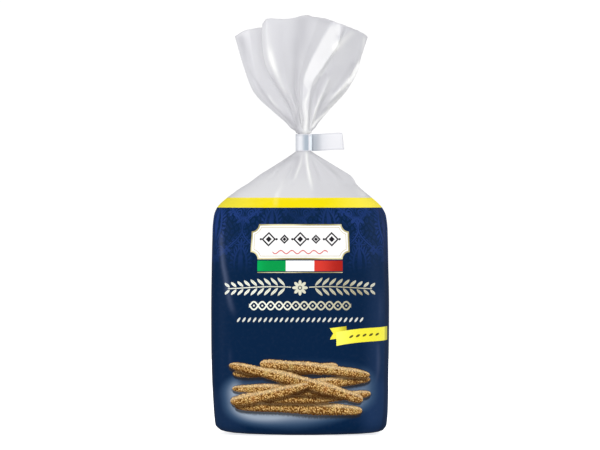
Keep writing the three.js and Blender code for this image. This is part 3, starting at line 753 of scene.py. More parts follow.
for k in range(len(path)):
    on_tail = k < len(tail)
    x0, y0 = path[k]
    rise = 1.15 * float(smooth(loop_r, 31.3, x0)) if on_tail else 0.0
    x0, y0 = float(x0), float(y0)
    for (o, z_) in prof:
        x_ = x0 + nor[k, 0] * o
        y_ = y0 + nor[k, 1] * o
        slant = 0.0
        if k == 0:
            slant = -0.125 * z_
        cv.append((NECK_X + x_ + slant, y_, cz + z_ + rise))
        across.append(z_)
        along_.append(float(path_len[k]))
for k in range(len(path) - 1):
    for j in range(NP):
        a, b = k * NP + j, k * NP + (j + 1) % NP
        cf.append((a, a + NP, b + NP, b))
cf.append(tuple(range(NP)))
cf.append(tuple(reversed([(len(path) - 1) * NP + j for j in range(NP)])))
strip = mesh_object("closure_strip", np.array(cv) * MM, cf)
strip.data.attributes.new("across", "FLOAT", "POINT").data.foreach_set("value", np.array(across, np.float32))
strip.data.attributes.new("along", "FLOAT", "POINT").data.foreach_set("value", np.array(along_, np.float32))
bpy.context.view_layer.update()
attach(strip, "root")
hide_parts("closure")


# ------------------------------------------------------------------ materials
class Graph:
    """A node tree written as arithmetic: each value is a number or an output socket."""

    def __init__(self, name):
        self.mat = bpy.data.materials.new(name)
        self.mat.use_nodes = True
        self.nt = self.mat.node_tree
        self.nt.nodes.clear()
        self.out = self.nt.nodes.new("ShaderNodeOutputMaterial")

    def node(self, kind):
        return self.nt.nodes.new(kind)

    def put(self, socket, value):
        if isinstance(value, Num):
            self.nt.links.new(value.s, socket)
        elif isinstance(value, (int, float)):
            socket.default_value = value
        elif isinstance(value, (tuple, list)):
            socket.default_value = tuple(value) + ((1.0,) if len(value) == 3 and len(socket.default_value) == 4 else ())
        else:
            self.nt.links.new(value, socket)

    def m(self, op, *args, clamp=False):
        if all(isinstance(a, (int, float)) for a in args) and not clamp:
            f = {
                "ADD": lambda a, b: a + b, "SUBTRACT": lambda a, b: a - b, "MULTIPLY": lambda a, b: a * b,
                "DIVIDE": lambda a, b: a / b,
            }.get(op)
            if f:
                return f(*args)
        n = self.node("ShaderNodeMath")
        n.operation = op
        n.use_clamp = clamp
        for i, a in enumerate(args):
            self.put(n.inputs[i], a)
        return Num(self, n.outputs[0])

    def smooth(self, a, lo, hi):
        """0 below lo to 1 above hi; falls instead where lo is above hi."""
        n = self.node("ShaderNodeMapRange")
        n.interpolation_type = "SMOOTHSTEP"
        self.put(n.inputs[0], a)
        if lo < hi:
            n.inputs[1].default_value, n.inputs[2].default_value = lo, hi
            n.inputs[3].default_value, n.inputs[4].default_value = 0.0, 1.0
        else:
            n.inputs[1].default_value, n.inputs[2].default_value = hi, lo
            n.inputs[3].default_value, n.inputs[4].default_value = 1.0, 0.0
        return Num(self, n.outputs[0])

    def mix(self, f, a, b):
        """Colour mix."""
        n = self.node("ShaderNodeMix")
        n.data_type = "RGBA"
        self.put(n.inputs[0], f)
        self.put(n.inputs[6], a)
        self.put(n.inputs[7], b)
        return n.outputs[2]

    def mixf(self, f, a, b):
        n = self.node("ShaderNodeMix")
        n.data_type = "FLOAT"
        self.put(n.inputs[0], f)
        self.put(n.inputs[2], a)
        self.put(n.inputs[3], b)
        return Num(self, n.outputs[0])

    def vec(self, x, y, z=0.0):
        n = self.node("ShaderNodeCombineXYZ")
        for i, a in enumerate((x, y, z)):
            self.put(n.inputs[i], a)
        return n.outputs[0]

    def noise(self, vector, scale, detail=2.0, rough=0.5):
        n = self.node("ShaderNodeTexNoise")
        self.nt.links.new(vector, n.inputs["Vector"])
        n.inputs["Scale"].default_value = scale
        n.inputs["Detail"].default_value = detail
        n.inputs["Roughness"].default_value = rough
        return Num(self, n.outputs[0])


class Num:
    def __init__(self, g, s):
        self.g, self.s = g, s

    def __add__(self, o):
        return self.g.m("ADD", self, o)

    __radd__ = __add__

    def __sub__(self, o):
        return self.g.m("SUBTRACT", self, o)

    def __rsub__(self, o):
        return self.g.m("SUBTRACT", o, self)

    def __mul__(self, o):
        return self.g.m("MULTIPLY", self, o)

    __rmul__ = __mul__

    def __truediv__(self, o):
        return self.g.m("DIVIDE", self, o)

    def __rtruediv__(self, o):
        return self.g.m("DIVIDE", o, self)

    def __neg__(self):
        return self.g.m("MULTIPLY", self, -1.0)

    def abs(self):
        return self.g.m("ABSOLUTE", self)

    def sq(self):
        return self.g.m("MULTIPLY", self, self)

    def sqrt(self):
        return self.g.m("SQRT", self)

    def sin(self):
        return self.g.m("SINE", self)

    def cos(self):
        return self.g.m("COSINE", self)

    def floor(self):
        return self.g.m("FLOOR", self)

    def fract(self):
        return self.g.m("FRACT", self)

    def pow(self, e):
        return self.g.m("POWER", self, e)

    def max(self, o):
        return self.g.m("MAXIMUM", self, o)

    def min(self, o):
        return self.g.m("MINIMUM", self, o)

    def lt(self, o):
        return self.g.m("LESS_THAN", self, o)

    def gt(self, o):
        return self.g.m("GREATER_THAN", self, o)

    def clamp(self):
        return self.g.m("ADD", self, 0.0, clamp=True)


TAU = 2 * math.pi
g = Graph("film_printed")
at = g.node("ShaderNodeAttribute")
at.attribute_type = "GEOMETRY"
at.attribute_name = "print_mm"
sep = g.node("ShaderNodeSeparateXYZ")
g.nt.links.new(at.outputs["Vector"], sep.inputs[0])
X, Z = Num(g, sep.outputs[0]) * 0.9953, Num(g, sep.outputs[1]) * 0.9947 + 1.65
E = 0.14  # softness of a printed edge, mm


def below(value, limit):
    """1 where value is under limit, with a printed edge."""
    if isinstance(limit, (int, float)):
        return g.smooth(value, limit + E, limit - E)
    return g.smooth(value - limit, E, -E)


# --- navy field, with a damask that fades out down the pack
NAVY = (0.0004, 0.0138, 0.0500)
DAMASK = (0.0130, 0.0400, 0.182)
PITCH, RISE = 23.2, 60.0
colf = X / PITCH
kcol = (colf + 0.5).floor()
xl = ((colf - kcol) * PITCH).abs()
odd = (kcol * 0.5).fract() * 2.0
zl = ((Z - 163.0) / RISE + odd * 0.5).fract() * RISE - RISE / 2
# pointed bud: outline and core
t = 1.0 - ((zl - 3.0) / 12.5).sq()
wv = t.max(0.0).pow(0.7) * 5.0
pat = below((xl - wv).abs(), 0.8) * t.gt(0.0)
pat = pat.max(below(xl, wv * 0.38) * g.smooth(t, 0.1, 0.2))
# fringe of petals round the bud
zc = (zl - 2.0) * 0.56
rho = (xl.sq() + zc.sq()).sqrt()
phi = g.m("ARCTAN2", zc, xl)
edge = (phi * 13.0).cos() * 0.9 + 8.9
pat = pat.max(below((rho - edge + 1.25).abs(), 1.2) * g.smooth((phi * 6.5).sin().abs(), 0.2, 0.45) * (phi * 13.0).cos().gt(-0.75))
# volutes under it
vx, vz = xl - 5.4, zl + 17.5
rv = (vx.sq() + vz.sq()).sqrt()
av = g.m("ARCTAN2", vz, vx)
spiral = ((rv - 0.35) / 2.1 - av / TAU).fract()
pat = pat.max(below((spiral - 0.5).abs(), 0.24) * below(rv, 4.5))
# foot leaves
fx, fz = xl, zl + 21.5
rf = (fx.sq() + fz.sq()).sqrt()
af = g.m("ARCTAN2", fz, fx)
pat = pat.max(below(rf, ((af * 3.0 + 0.4).sin().abs()) * 6.2 + 0.6) * g.smooth(fz, 2.5, -0.5))
# crown above the bud
cx_, cz_ = xl, zl - 17.5
rc = (cx_.sq() + cz_.sq()).sqrt()
ac = g.m("ARCTAN2", cz_, cx_)
pat = pat.max(below(rc, (ac * 4.0).cos().abs() * 4.4 + 0.4) * g.smooth(cz_, -0.8, 0.2))
# rosettes where the columns meet
rx = xl - PITCH / 2
rz = ((zl + 17.0) / 30.0 + 0.5).fract() * 30.0 - 15.0
rr = (rx.sq() + rz.sq()).sqrt()
ra = g.m("ARCTAN2", rz, rx)
pat = pat.max(below(rr, (ra * 2.0).cos().abs() * 2.6 + 0.7) * g.smooth(rr, 0.5, 0.8))
# ogee trellis
xf = g.m("PINGPONG", X, PITCH)
zo = (Z - 163.0) * (TAU / RISE)
cc = zo.cos() * (-PITCH / 2) + PITCH / 2
slope = (zo.sin() * (PITCH / 2 * TAU / RISE)).sq() + 1.0
dist = (xf - cc) / slope.sqrt()
pat = pat.max(below(dist.abs(), 0.55)).max(below((dist.abs() - 1.5).abs(), 0.32) * (Z * (TAU / 2.4)).sin().gt(-0.5))
curl_a = (X * (TAU / 7.73) + (Z * (TAU / 15.0)).sin() * 1.3).sin()
curl_b = (Z * (TAU / 10.0) + (X * (TAU / 11.6)).sin() * 1.3).sin()
curls = g.smooth((curl_a * curl_b).abs(), 0.30, 0.62) * (1.0 - g.smooth((curl_a * curl_b).abs(), 0.80, 0.95) * 0.6)
pat = pat.max(curls * 0.42)
veil = g.noise(g.vec(X * 0.05, Z * 0.05), 1.0, 2.0)
fade = g.smooth(Z, 126.0, 150.0) * g.smooth(veil, 0.25, 0.6) * 0.45 + g.smooth(Z, 128.0, 170.0) * 0.35
pat = (pat * fade * (g.smooth(X.abs(), 18.0, 44.0) * 0.42 + 0.58)).clamp()
# painted reflection: paler navy down the right side and at the lower right
painted_reflection = (g.smooth(X, 46.0, 61.0) * g.smooth(X, 118.0, 74.0) * (g.smooth(Z, 150.0, 60.0) * 0.34 + 0.30) + g.smooth(((X - 58.0) / 24.0).sq() + ((Z - 28.0) / 22.0).sq(), 1.0, 0.1) * 0.5).clamp()
ground_c = g.mix(painted_reflection, NAVY, (0.0100, 0.0315, 0.0925))
# painted reflection: paler navy at the lower left corner
ground_c = g.mix(g.smooth(((X + 62.0) / 20.0).sq() + ((Z - 20.0) / 24.0).sq(), 1.0, 0.2) * 0.3, ground_c, (0.0150, 0.0350, 0.0880))
col = g.mix(pat, ground_c, DAMASK)

# --- pale light on the ground under the sticks, front only
tilt = math.radians(4.8)
gu = (X + 1.7) * math.cos(tilt) + (Z - 34.0) * math.sin(tilt)
gv = (Z - 34.0) * math.cos(tilt) - (X + 6.0) * math.sin(tilt)
g_len = (gu.sq() + gv.sq()).sqrt()
g_r = ((gu / 56.0).abs().pow(3.0) + (gv / 20.5).abs().pow(3.0)).max(0.0002).pow(1.0 / 3.0)
g_out = g_len * (1.0 - 1.0 / g_r)  # mm outside the patch of light
hazy = g.noise(g.vec(X * 0.03, Z * 0.07), 1.0, 1.0)
between = 1.0 - g.smooth(Z, 36.0, 45.0) * g.smooth(X.abs(), 56.0, 44.0) * 0.75
glow = (g.smooth(g_out, 8.0, -6.0) * (hazy * 0.20 + 0.90)).clamp() * between
glow = glow * (1.0 - g.smooth(X, 10.0, 40.0) * 0.30)
col = g.mix(g.smooth(g_out, 10.0, -1.0) * between, col, (0.034, 0.075, 0.148))
col = g.mix(glow.max(0.0).pow(2.6), col, (0.300, 0.355, 0.435))

# --- heap of sticks: x, height, lean (deg), half length, half thickness, bend
STICKS = [
    (-2.0, 24.0, -2.2, 51.5, 4.9, 0.8),
    (12.0, 32.0, 2.6, 43.5, 4.5, -0.9),
    (-13.0, 38.0, -2.0, 41.5, 4.3, 0.8),
    (15.5, 43.0, 5.5, 39.5, 4.3, 0.7),
    (-12.0, 52.5, 4.0, 41.5, 4.3, -0.8),
    (11.5, 54.5, -6.0, 43.5, 4.4, 0.9),
    (-3.0, 45.0, -14.5, 54.5, 4.8, 1.6),
    (-25.0, 34.0, 12.0, 32.0, 4.5, -0.9),
]
su = sv = shade = mask = cast = None
for i, (cx0, cz0, lean, half, thick, bend) in enumerate(STICKS):
    a = math.radians(lean)
    ca, sa = math.cos(a), math.sin(a)
    dx, dz = X - cx0, Z - cz0
    u = dx * ca + dz * sa
    un = u / half
    v = dz * ca - dx * sa + un.sq() * bend
    # the sticks swell a little unevenly, are rough with seeds and have blunt round ends
    wob = (u * (0.11 + 0.013 * i) + 1.7 * i).sin() * 0.08 + 1.0
    knob = (g.noise(g.vec(u * 0.62 + 9.0 * i, v * 0.5), 1.0, 2.0, 0.6) - 0.5) * 0.46
    prof = (1.0 - un.sq().sq().sq().sq()).max(0.0).pow(0.5) * (1.0 - un * 0.12 * (1 if i % 2 else -1)) * (1.0 - un.sq() * 0.30)
    rad = prof * (wob + knob) * thick
    dv = v / rad.max(0.01)
    inside = below(v.abs(), rad) * below(u.abs(), half)
    under = g.smooth((v + 1.0).abs() / (rad + 0.9), 1.35, 0.85) * g.smooth(un.abs(), 1.05, 0.97)
    if mask is None:
        su, sv, shade, mask, cast = u, dv, dv * 0.0 + 1.0, inside, under
    else:
        # soft shadow thrown down and to the right on what lies under
        dsh = (v + 1.8).abs() / (rad + 1.3)
        dark = g.smooth(dsh, 1.02, 0.66) * g.smooth(un.abs(), 1.05, 0.92)
        shade = shade * (1.0 - dark * 0.92)
        shade = g.mixf(inside, shade, 1.0)
        su = g.mixf(inside, su, u + 37.0 * i)
        sv = g.mixf(inside, sv, dv)
        mask = mask.max(inside)
        cast = cast.max(under)
# their shadow on the ground
g0 = (Z - 21.0) / 6.0
ground = g.smooth(g0.sq() + ((X - 3.0) / 53.0).sq(), 1.0, 0.3)
col = g.mix((ground * 0.22).max(cast * 0.86) * (1.0 - mask), col, (0.016, 0.014, 0.014))
crumb = g.noise(g.vec(su, sv * 3.4), 0.80, 3.0, 0.7)
seedn = g.node("ShaderNodeTexVoronoi")
seedn.feature = "F1"
g.nt.links.new(g.vec(su * 0.66 + sv * 0.5, sv * 3.4 + 11.0), seedn.inputs["Vector"])
seedn.inputs["Scale"].default_value = 1.36
seedn.inputs["Randomness"].default_value = 0.85
cell_d = Num(g, seedn.outputs["Distance"])
seed = g.smooth(cell_d, 0.40, 0.18)
gap_ = g.smooth(cell_d, 0.46, 0.62)
body_c = g.mix(g.smooth(crumb, 0.32, 0.64), (0.270, 0.112, 0.012), (0.680, 0.400, 0.118))
body_c = g.mix(seed * 0.80, body_c, (0.920, 0.670, 0.345))
body_c = g.mix(gap_ * 0.92, body_c, (0.100, 0.028, 0.001))
# baked a little unevenly: redder here, paler there
baked = g.noise(g.vec(su * 0.55, sv * 0.9 + 4.0), 0.30, 2.0, 0.5)
body_c = g.mix(g.smooth(baked, 0.54, 0.72) * 0.34, body_c, (0.430, 0.165, 0.050))
body_c = g.mix(g.smooth(baked, 0.46, 0.28) * 0.30, body_c, (0.560, 0.440, 0.150))
# lit from above and left, dark underneath
body_c = g.mix(g.smooth(sv, 0.15, 0.62) * g.smooth(sv, 1.02, 0.80) * 0.38, body_c, (0.95, 0.73, 0.42))
body_c = g.mix(g.smooth(sv, 0.84, 1.0) * 0.35, body_c, (0.20, 0.100, 0.022))
body_c = g.mix(g.smooth(sv, -0.30, -1.0) * 0.94, body_c, (0.050, 0.015, 0.001))
body_c = g.mix((1.0 - shade) * 0.92, body_c, (0.038, 0.012, 0.001))
col = g.mix(mask, col, body_c)

# --- gold ornaments: laurel, braid and a row of seeds
ax_ = X.abs()
silver = g.noise(g.vec(X * 0.02, Z * 0.02), 1.0, 0.0)
gold_t = g.smooth(X, -40.0, 62.0)
gold = g.mix(gold_t, (0.80, 0.80, 0.66), (0.40, 0.36, 0.22))
gold = g.mix(g.smooth((X * 0.055 + Z * 0.09).sin(), 0.2, 1.0) * 0.5, gold, (0.90, 0.90, 0.80))
# laurel: leaves slanting outward, above and below a thin stem
z1 = Z - 117.2
stem = (ax_ * 0.075).sin() * 0.9
lz = (z1 - stem).abs()
cs = ax_ - 8.5 - lz * 0.85
cell = (cs / 5.4).fract() * 5.4 - 2.7
size = g.m("SUBTRACT", 1.0, (ax_ / 92.0).sq())
tt = (lz - 0.7) / (size * 6.7)
leaf_w = (tt.clamp() * math.pi).sin().max(0.0).pow(0.8) * 1.45
span = below(cs, 48.6) * cs.gt(0.0)
leaf = below(cell.abs(), leaf_w) * tt.gt(0.0) * tt.lt(1.0) * span
leaf = leaf * (1.0 - below(cell.abs(), 0.22) * 0.45)
leaf = leaf.max(below(lz, 0.36) * below(ax_, 56.0) * ax_.gt(7.0))
rho1 = (X.sq() + z1.sq()).sqrt()
ph1 = g.m("ARCTAN2", z1, X)
ros = below(rho1, (ph1 * 4.0).cos().abs() * 3.0 + 3.0) * g.smooth(rho1, 1.5, 1.8)
ros = ros.max(below(rho1, 1.0))
orn = leaf.max(ros)
# braid
z2 = Z - 103.3
w1 = (X * (TAU / 13.0)).sin() * 3.0
slant = ((X * (TAU / 13.0)).cos() * (3.0 * TAU / 13.0)).sq() + 1.0
s2 = slant.sqrt()
b1 = below((z2 - w1).abs(), s2 * 0.58)
b2 = below((z2 + w1).abs(), s2 * 0.58)
eye_x = (X / 6.5).fract() * 6.5 - 3.25
eye = below((eye_x.sq() + z2.sq()).sqrt(), 0.72)
orn = orn.max(b1.max(b2).max(eye) * below(ax_, 39.5))
# seeds in a row
z3 = Z - 92.3
cx3 = (X / 4.15).fract() * 4.15 - 2.075
u3 = cx3 * 0.82 - z3 * 0.57
v3 = cx3 * 0.57 + z3 * 0.82
seedrow = below(((u3 / 0.78).sq() + (v3 / 2.1).sq()).sqrt(), 1.0) * below(ax_, 49.9)
col = g.mix(orn, col, gold)
col = g.mix(seedrow, col, (0.66, 0.66, 0.60))

# --- white plaque with hollow corners and a fine gold line, a row of lozenges on it
PLAQUE_Z, PLAQUE_W, PLAQUE_H, NOTCH = 152.9, 38.6, 13.6, 5.6
pz = (Z - PLAQUE_Z).abs()
corner = ((ax_ - PLAQUE_W).sq() + (pz - PLAQUE_H).sq()).sqrt()


def plaque(inset):
    return below(ax_, PLAQUE_W - inset) * below(pz, PLAQUE_H - inset) * g.smooth(corner, NOTCH + inset - E, NOTCH + inset + E)


frame_gold = g.mix(g.smooth((X * 0.11 + Z * 0.17).sin(), -0.6, 0.9), (0.36, 0.31, 0.13), (0.72, 0.66, 0.38))
col = g.mix(plaque(0.0), col, frame_gold)
inner = plaque(1.1)
col = g.mix(inner, col, (0.885, 0.868, 0.860))
line = plaque(2.3) * (1.0 - plaque(2.75))
col = g.mix(line * 0.85, col, (0.50, 0.43, 0.20))
z4 = Z - PLAQUE_Z - 2.0
# bold lozenges, large and small by turns, with a bead between
step = 12.4
lx = (ax_ / step + 0.5).fract() * step - step / 2
which = ((ax_ / step + 0.5).floor() * 0.5).fract() * 2.0
big = 5.7 - which * 2.0
loz = lx.abs() + z4.abs()
row_on = below(ax_, 2.5 * step)
ink = (below(loz, big) * (1.0 - below(loz, big - 1.6)) + below(loz, big * 0.42)) * row_on
bead_x = (ax_ / step).fract() * step - step / 2
bead = below((bead_x.sq() + z4.sq()).sqrt(), 0.9) * below(ax_, 2.6 * step)
ink = ink.max(bead).clamp()
col = g.mix(ink * inner, col, (0.014, 0.013, 0.016))
# a fine red wave with dots in its hollows under them
z5 = Z - (PLAQUE_Z - 8.0)
wave = (X * (TAU / 8.6)).sin() * 1.25
wave_s = (((X * (TAU / 8.6)).cos() * (1.25 * TAU / 8.6)).sq() + 1.0).sqrt()
chain = below((z5 - wave).abs(), wave_s * 0.42)
dot_x = (X / 8.6 + 0.25).fract() * 8.6 - 4.3
chain = chain.max(below((dot_x.sq() + (z5 - 1.1).sq()).sqrt(), 0.55))
col = g.mix(chain * below(ax_, 21.5) * 0.9, col, (0.62, 0.085, 0.07))
# --- a plain stripe of three colours, with a fine gold line above and below
zb = Z - 134.2
stripe = below(zb.abs(), 4.1) * below(ax_, 33.0)
hair = below((zb + 5.1).abs(), 0.28) * below(ax_, 33.0)
col = g.mix(hair, col, frame_gold)
fold = g.smooth((X * 0.115 + 0.6).sin(), -1.0, 1.0)
green = g.mix(fold, (0.0003, 0.290, 0.060), (0.0006, 0.460, 0.106))
white = g.mix(fold, (0.93, 0.93, 0.92), (0.97, 0.97, 0.96))
red = g.mix(fold, (0.37, 0.014, 0.009), (0.64, 0.040, 0.027))
tri = g.mix(g.smooth(X, -11.0 - E, -11.0 + E), green, white)
tri = g.mix(g.smooth(X, 11.0 - E, 11.0 + E), tri, red)
col = g.mix(stripe, col, tri)

# --- yellow ribbon at the right
xr = X - 22.0
mid = 76.2 + 0.125 * xr + (xr * 0.085).sin() * 0.9
zr = Z - mid
rib = below(zr.abs(), 5.3) * below(-1.0 * X, -28.0 + 0.0) * below(X, 71.5)
tailz = Z - 81.5 - (X - 24.0) * 0.12
ribt = below(tailz.abs(), 4.4) * below((X - 29.5).abs(), 6.4 - 0.0) * (X - 22.9 - (4.4 - tailz.abs()).max(0.0) * 0.6).gt(0.0)
col = g.mix(ribt, col, g.mix(g.smooth(X, 28.0, 36.0), (0.86, 0.80, 0.06), (0.50, 0.42, 0.02)))
ysh = g.mix(g.smooth((X * 0.11 - 1.0).sin(), -1.0, 1.0), (0.86, 0.78, 0.045), (0.95, 0.90, 0.12))
col = g.mix(rib, col, ysh)
sx = ((X - 37.0) / 5.2).fract() * 5.2 - 2.6
ur, vr = sx * 0.9 + zr * 0.44, zr * 0.9 - sx * 0.44
ribs = below(((ur / 1.75).sq() + (vr / 0.85).sq()).sqrt(), 1.0) * below((X - 50.0).abs(), 13.0)
col = g.mix(ribs * 0.92, col, (0.05, 0.035, 0.01))

# --- yellow band round the top, fading paler towards the sides
edge_t = g.smooth(ax_, 20.0, 66.0)
yellow = g.mix(edge_t, (0.79, 0.645, 0.0015), g.mix(g.smooth(X, -20.0, 20.0), (0.720, 0.610, 0.036), (0.860, 0.735, 0.062)))
yel_n = g.noise(g.vec(X * 0.05, Z * 0.2), 1.0, 1.0)
yellow = g.mix(g.smooth(yel_n, 0.45, 0.7) * 0.25, yellow, (0.83, 0.70, 0.05))
# painted shade: darker navy in a band near the right edge
col = g.mix(g.smooth(X, 66.6, 69.0) * g.smooth(X, 76.0, 71.0) * 0.45, col, (0.004, 0.010, 0.030))
col = g.mix(g.smooth(Z, 179.35 - E, 179.35 + E), col, yellow)

# --- ink film: a faint mottle, fine crinkles in the film as bump
mott = g.noise(g.vec(X, Z), 0.35, 3.0)
col = g.mix((mott - 0.5).max(0.0) * 0.05, col, (0.25, 0.28, 0.36))
# painted highlight: the ink is paler along the creases where the painted light is above 0
ta = g.node("ShaderNodeAttribute")
ta.attribute_type = "GEOMETRY"
ta.attribute_name = "painted_light"
painted_light_v = Num(g, ta.outputs["Fac"]).max(0.0)
on_yellow = g.smooth(Z, 179.0, 179.8)
col = g.mix((painted_light_v * (on_yellow * 0.03 + 0.155)).clamp(), col, g.mix(on_yellow, (0.33, 0.39, 0.60), (0.90, 0.86, 0.52)))
pb = g.node("ShaderNodeBsdfPrincipled")
g.put(pb.inputs["Base Color"], col)
pb.inputs["Roughness"].default_value = 0.46
pb.inputs["Specular IOR Level"].default_value = 0.065
crk = g.noise(g.vec(X * 0.35, Z * 0.16), 1.0, 3.0, 0.55)
bump = g.node("ShaderNodeBump")
bump.inputs["Strength"].default_value = 0.10
bump.inputs["Distance"].default_value = 0.0006
g.put(bump.inputs["Height"], crk)
g.nt.links.new(bump.outputs[0], pb.inputs["Normal"])
g.nt.links.new(pb.outputs[0], g.out.inputs[0])
m_print = g.mat
print("print nodes", len(g.nt.nodes))

# --- milky film above the print
g = Graph("film_clear")
geo = g.node("ShaderNodeTexCoord")
pos = geo.outputs["Object"]
haze = g.noise(pos, 38.0, 3.0)
base = g.mix(haze, (0.720, 0.712, 0.740), (0.760, 0.752, 0.774))
ta = g.node("ShaderNodeAttribute")
ta.attribute_type = "GEOMETRY"
ta.attribute_name = "painted_light"
painted_light_v = Num(g, ta.outputs["Fac"])
# painted highlight and painted shade: the film is whiter where the painted light is above 0, greyer where it is below
base = g.mix(painted_light_v.clamp(), base, (0.985, 0.978, 0.962))
base = g.mix((painted_light_v * -1.0).clamp(), base, (0.560, 0.552, 0.580))
b = g.node("ShaderNodeBsdfPrincipled")
g.put(b.inputs["Base Color"], base)
b.inputs["Roughness"].default_value = 0.30
b.inputs["Specular IOR Level"].default_value = 0.5
# painted glow: where the painted light passes 1, at the sharpest creases and the far rim, the film gives off a little
# light
b.inputs["Emission Color"].default_value = (1.0, 0.99, 0.97, 1)
g.put(b.inputs["Emission Strength"], (painted_light_v - 1.0).clamp() * 0.20)
crk = g.noise(pos, 160.0, 3.0, 0.5)
bump = g.node("ShaderNodeBump")
bump.inputs["Strength"].default_value = 0.12
bump.inputs["Distance"].default_value = 0.0008
g.put(bump.inputs["Height"], crk)
g.nt.links.new(bump.outputs[0], b.inputs["Normal"])
tr = g.node("ShaderNodeBsdfTranslucent")
# painted highlight: the light let through the film is whiter where the painted light is above 0
g.put(tr.inputs["Color"], g.mix(painted_light_v.clamp(), (0.760, 0.760, 0.780), (0.970, 0.965, 0.960)))
g.nt.links.new(bump.outputs[0], tr.inputs["Normal"])
mx = g.node("ShaderNodeMixShader")
mx.inputs[0].default_value = 0.22
g.nt.links.new(b.outputs[0], mx.inputs[1])
g.nt.links.new(tr.outputs[0], mx.inputs[2])
g.nt.links.new(mx.outputs[0], g.out.inputs[0])
m_clear = g.mat

# --- closure strip
g = Graph("strip_white")
geo = g.node("ShaderNodeTexCoord")
n1 = g.noise(geo.outputs["Object"], 90.0, 3.0)
base = g.mix(n1, (0.735, 0.728, 0.758), (0.785, 0.778, 0.802))
acr = g.node("ShaderNodeAttribute")
acr.attribute_type, acr.attribute_name = "GEOMETRY", "across"
aln = g.node("ShaderNodeAttribute")
aln.attribute_type, aln.attribute_name = "GEOMETRY", "along"
edge_mm = HB - Num(g, acr.outputs["Fac"]).abs()
along_mm = Num(g, aln.outputs["Fac"])
sp = g.node("ShaderNodeSeparateXYZ")
g.nt.links.new(geo.outputs["Object"], sp.inputs[0])
sx_, sy_, sz_ = (Num(g, o) * 1000.0 for o in sp.outputs)
# painted shade: blue-grey over the front of the loop, darkest on its right side, which turns away from the light, and
# on the tail's root, in the lip's shadow
front_ = g.smooth(sy_, 2.5, -1.5)
painted_shade = g.smooth(sx_, 0.2, 5.0) * g.smooth(sx_, 7.7, 6.2) * 1.0
painted_shade = painted_shade.max(g.smooth(sx_, 4.0, 1.6) * 0.18 + g.smooth(sx_, -0.6, -2.4) * 0.16)
tail_shadow = g.smooth(sx_, 8.8, 9.4) * (g.smooth(sx_, 18.0, 11.0) * 0.42 + g.smooth(sx_, 26.0, 14.0) * 0.24)
painted_shade = (painted_shade * front_).max(tail_shadow)
base = g.mix((painted_shade * (n1 * 0.3 + 0.85)).clamp(), base, (0.36, 0.42, 0.49))
# painted highlight on the fold between loop and tail
painted_glint = g.smooth(sx_, 7.6, 8.3) * g.smooth(sx_, 9.7, 9.1) * front_
base = g.mix(painted_glint * 0.9, base, (0.800, 0.850, 0.885))
# pricked line near the cut end
prick = g.smooth((sx_ - 32.1).abs(), 0.32, 0.12) * g.smooth((sz_ * (TAU / 1.1)).sin(), -0.6, 0.2)
base = g.mix(prick * 0.30, base, (0.50, 0.53, 0.58))
# greyer along the tail's cut edges
border = g.smooth(edge_mm, 1.25, 0.75).max(g.smooth(along_mm, 1.3, 0.9) * 0.8) * g.smooth(sx_, 9.5, 12.5)
base = g.mix(border * 0.32, base, (0.48, 0.49, 0.53))
# painted shade just under the top edge at the front of the loop
above = Num(g, acr.outputs["Fac"])
shade_under_lip = g.smooth(above, HB - 2.6, HB - 1.2) * g.smooth(sx_, 9.4, 9.0) * front_
base = g.mix(shade_under_lip * 0.34, base, (0.42, 0.44, 0.48))
# painted highlight: the front edges of the loop stay light, where the strip's thickness catches the light
lip = g.smooth(edge_mm, 0.85, 0.55) * g.smooth(sx_, 9.4, 9.0) * g.smooth(sx_, 0.5, 2.0) * front_
base = g.mix(lip * 0.62, base, (0.74, 0.73, 0.77))
b = g.node("ShaderNodeBsdfPrincipled")
g.put(b.inputs["Base Color"], base)
b.inputs["Roughness"].default_value = 0.38
g.nt.links.new(b.outputs[0], g.out.inputs[0])
m_strip = g.mat

bag.data.materials.append(m_print)
bag.data.materials.append(m_clear)
strip.data.materials.append(m_strip)

# ------------------------------------------------------------------ floor, world, lights
fv, ff = [(0, 0, -0.0002)], []
for i in range(96):
    a = 2 * math.pi * i / 96
    fv.append((0.9 * math.cos(a), 0.9 * math.sin(a), -0.0002))
for i in range(96):
    ff.append((0, 1 + i, 1 + (i + 1) % 96))
floor = mesh_object("floor", fv, ff, False)
g = Graph("floor_pale")
b = g.node("ShaderNodeBsdfPrincipled")
b.inputs["Base Color"].default_value = (0.85, 0.85, 0.85, 1)
b.inputs["Roughness"].default_value = 0.9
b.inputs["Emission Color"].default_value = (1, 1, 1, 1)
b.inputs["Emission Strength"].default_value = 0.74
g.nt.links.new(b.outputs[0], g.out.inputs[0])
floor.data.materials.append(g.mat)
floor.visible_glossy = False
floor.visible_diffuse = False

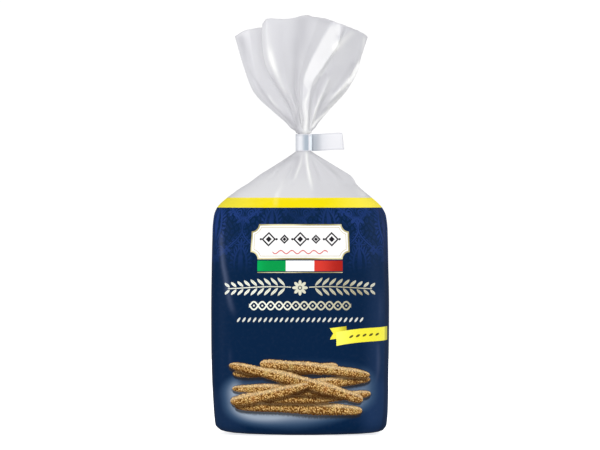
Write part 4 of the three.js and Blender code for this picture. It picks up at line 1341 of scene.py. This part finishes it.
world = bpy.data.worlds.new("studio")
scene.world = world
world.use_nodes = True
wt = world.node_tree
wt.nodes.clear()
wo = wt.nodes.new("ShaderNodeOutputWorld")
bg_cam = wt.nodes.new("ShaderNodeBackground")
bg_cam.inputs[0].default_value = (1, 1, 1, 1)
bg_cam.inputs[1].default_value = 1.05
bg_fill = wt.nodes.new("ShaderNodeBackground")
bg_fill.inputs[0].default_value = (0.96, 0.98, 1, 1)
bg_fill.inputs[1].default_value = 0.65
bg_gloss = wt.nodes.new("ShaderNodeBackground")
bg_gloss.inputs[0].default_value = (1, 1, 1, 1)
bg_gloss.inputs[1].default_value = 0.22
lp = wt.nodes.new("ShaderNodeLightPath")
mixg = wt.nodes.new("ShaderNodeMixShader")
mixc = wt.nodes.new("ShaderNodeMixShader")
wt.links.new(lp.outputs["Is Glossy Ray"], mixg.inputs[0])
wt.links.new(bg_fill.outputs[0], mixg.inputs[1])
wt.links.new(bg_gloss.outputs[0], mixg.inputs[2])
wt.links.new(lp.outputs["Is Camera Ray"], mixc.inputs[0])
wt.links.new(mixg.outputs[0], mixc.inputs[1])
wt.links.new(bg_cam.outputs[0], mixc.inputs[2])
wt.links.new(mixc.outputs[0], wo.inputs[0])


def area(name, loc, target, w, h, power, glossy=True, diffuse=True):
    d = bpy.data.lights.new(name, "AREA")
    d.shape = "RECTANGLE"
    d.size, d.size_y = w, h
    d.energy = power
    o = bpy.data.objects.new(name, d)
    scene.collection.objects.link(o)
    o.location = loc
    o.rotation_euler = (Vector(target) - Vector(loc)).to_track_quat("-Z", "Y").to_euler()
    o.visible_camera = False
    o.visible_glossy = glossy
    o.visible_diffuse = diffuse
    return o


area("key_left", (-1.02, -1.0, 0.38), (0, 0, 0.22), 0.5, 0.8, 10.5, glossy=False)
area("gloss_left", (-1.12, -0.8, 0.22), (0, 0, 0.24), 0.32, 0.9, 4.5, diffuse=False)
area("fill_front", (0.25, -2.4, 0.75), (0, 0, 0.16), 1.2, 0.9, 7.4, glossy=False)
area("fill_right", (1.3, -1.35, 0.35), (0, 0, 0.2), 0.8, 0.9, 7.0)
area("rim_right", (0.95, 0.15, 0.45), (0, 0, 0.2), 0.35, 0.9, 2.5)
area("top", (0.0, 0.1, 1.3), (0, 0, 0.15), 0.9, 0.9, 1.0)
area("fill_back", (0.2, 2.0, 0.7), (0, 0, 0.17), 1.2, 0.9, 5.0, glossy=False)

scene.view_settings.view_transform = "Standard"
scene.view_settings.look = "None"
scene.view_settings.exposure = 0
scene.view_settings.gamma = 1
scene.cycles.use_denoising = True
scene.cycles.max_bounces = 8
scene.cycles.transparent_max_bounces = 12
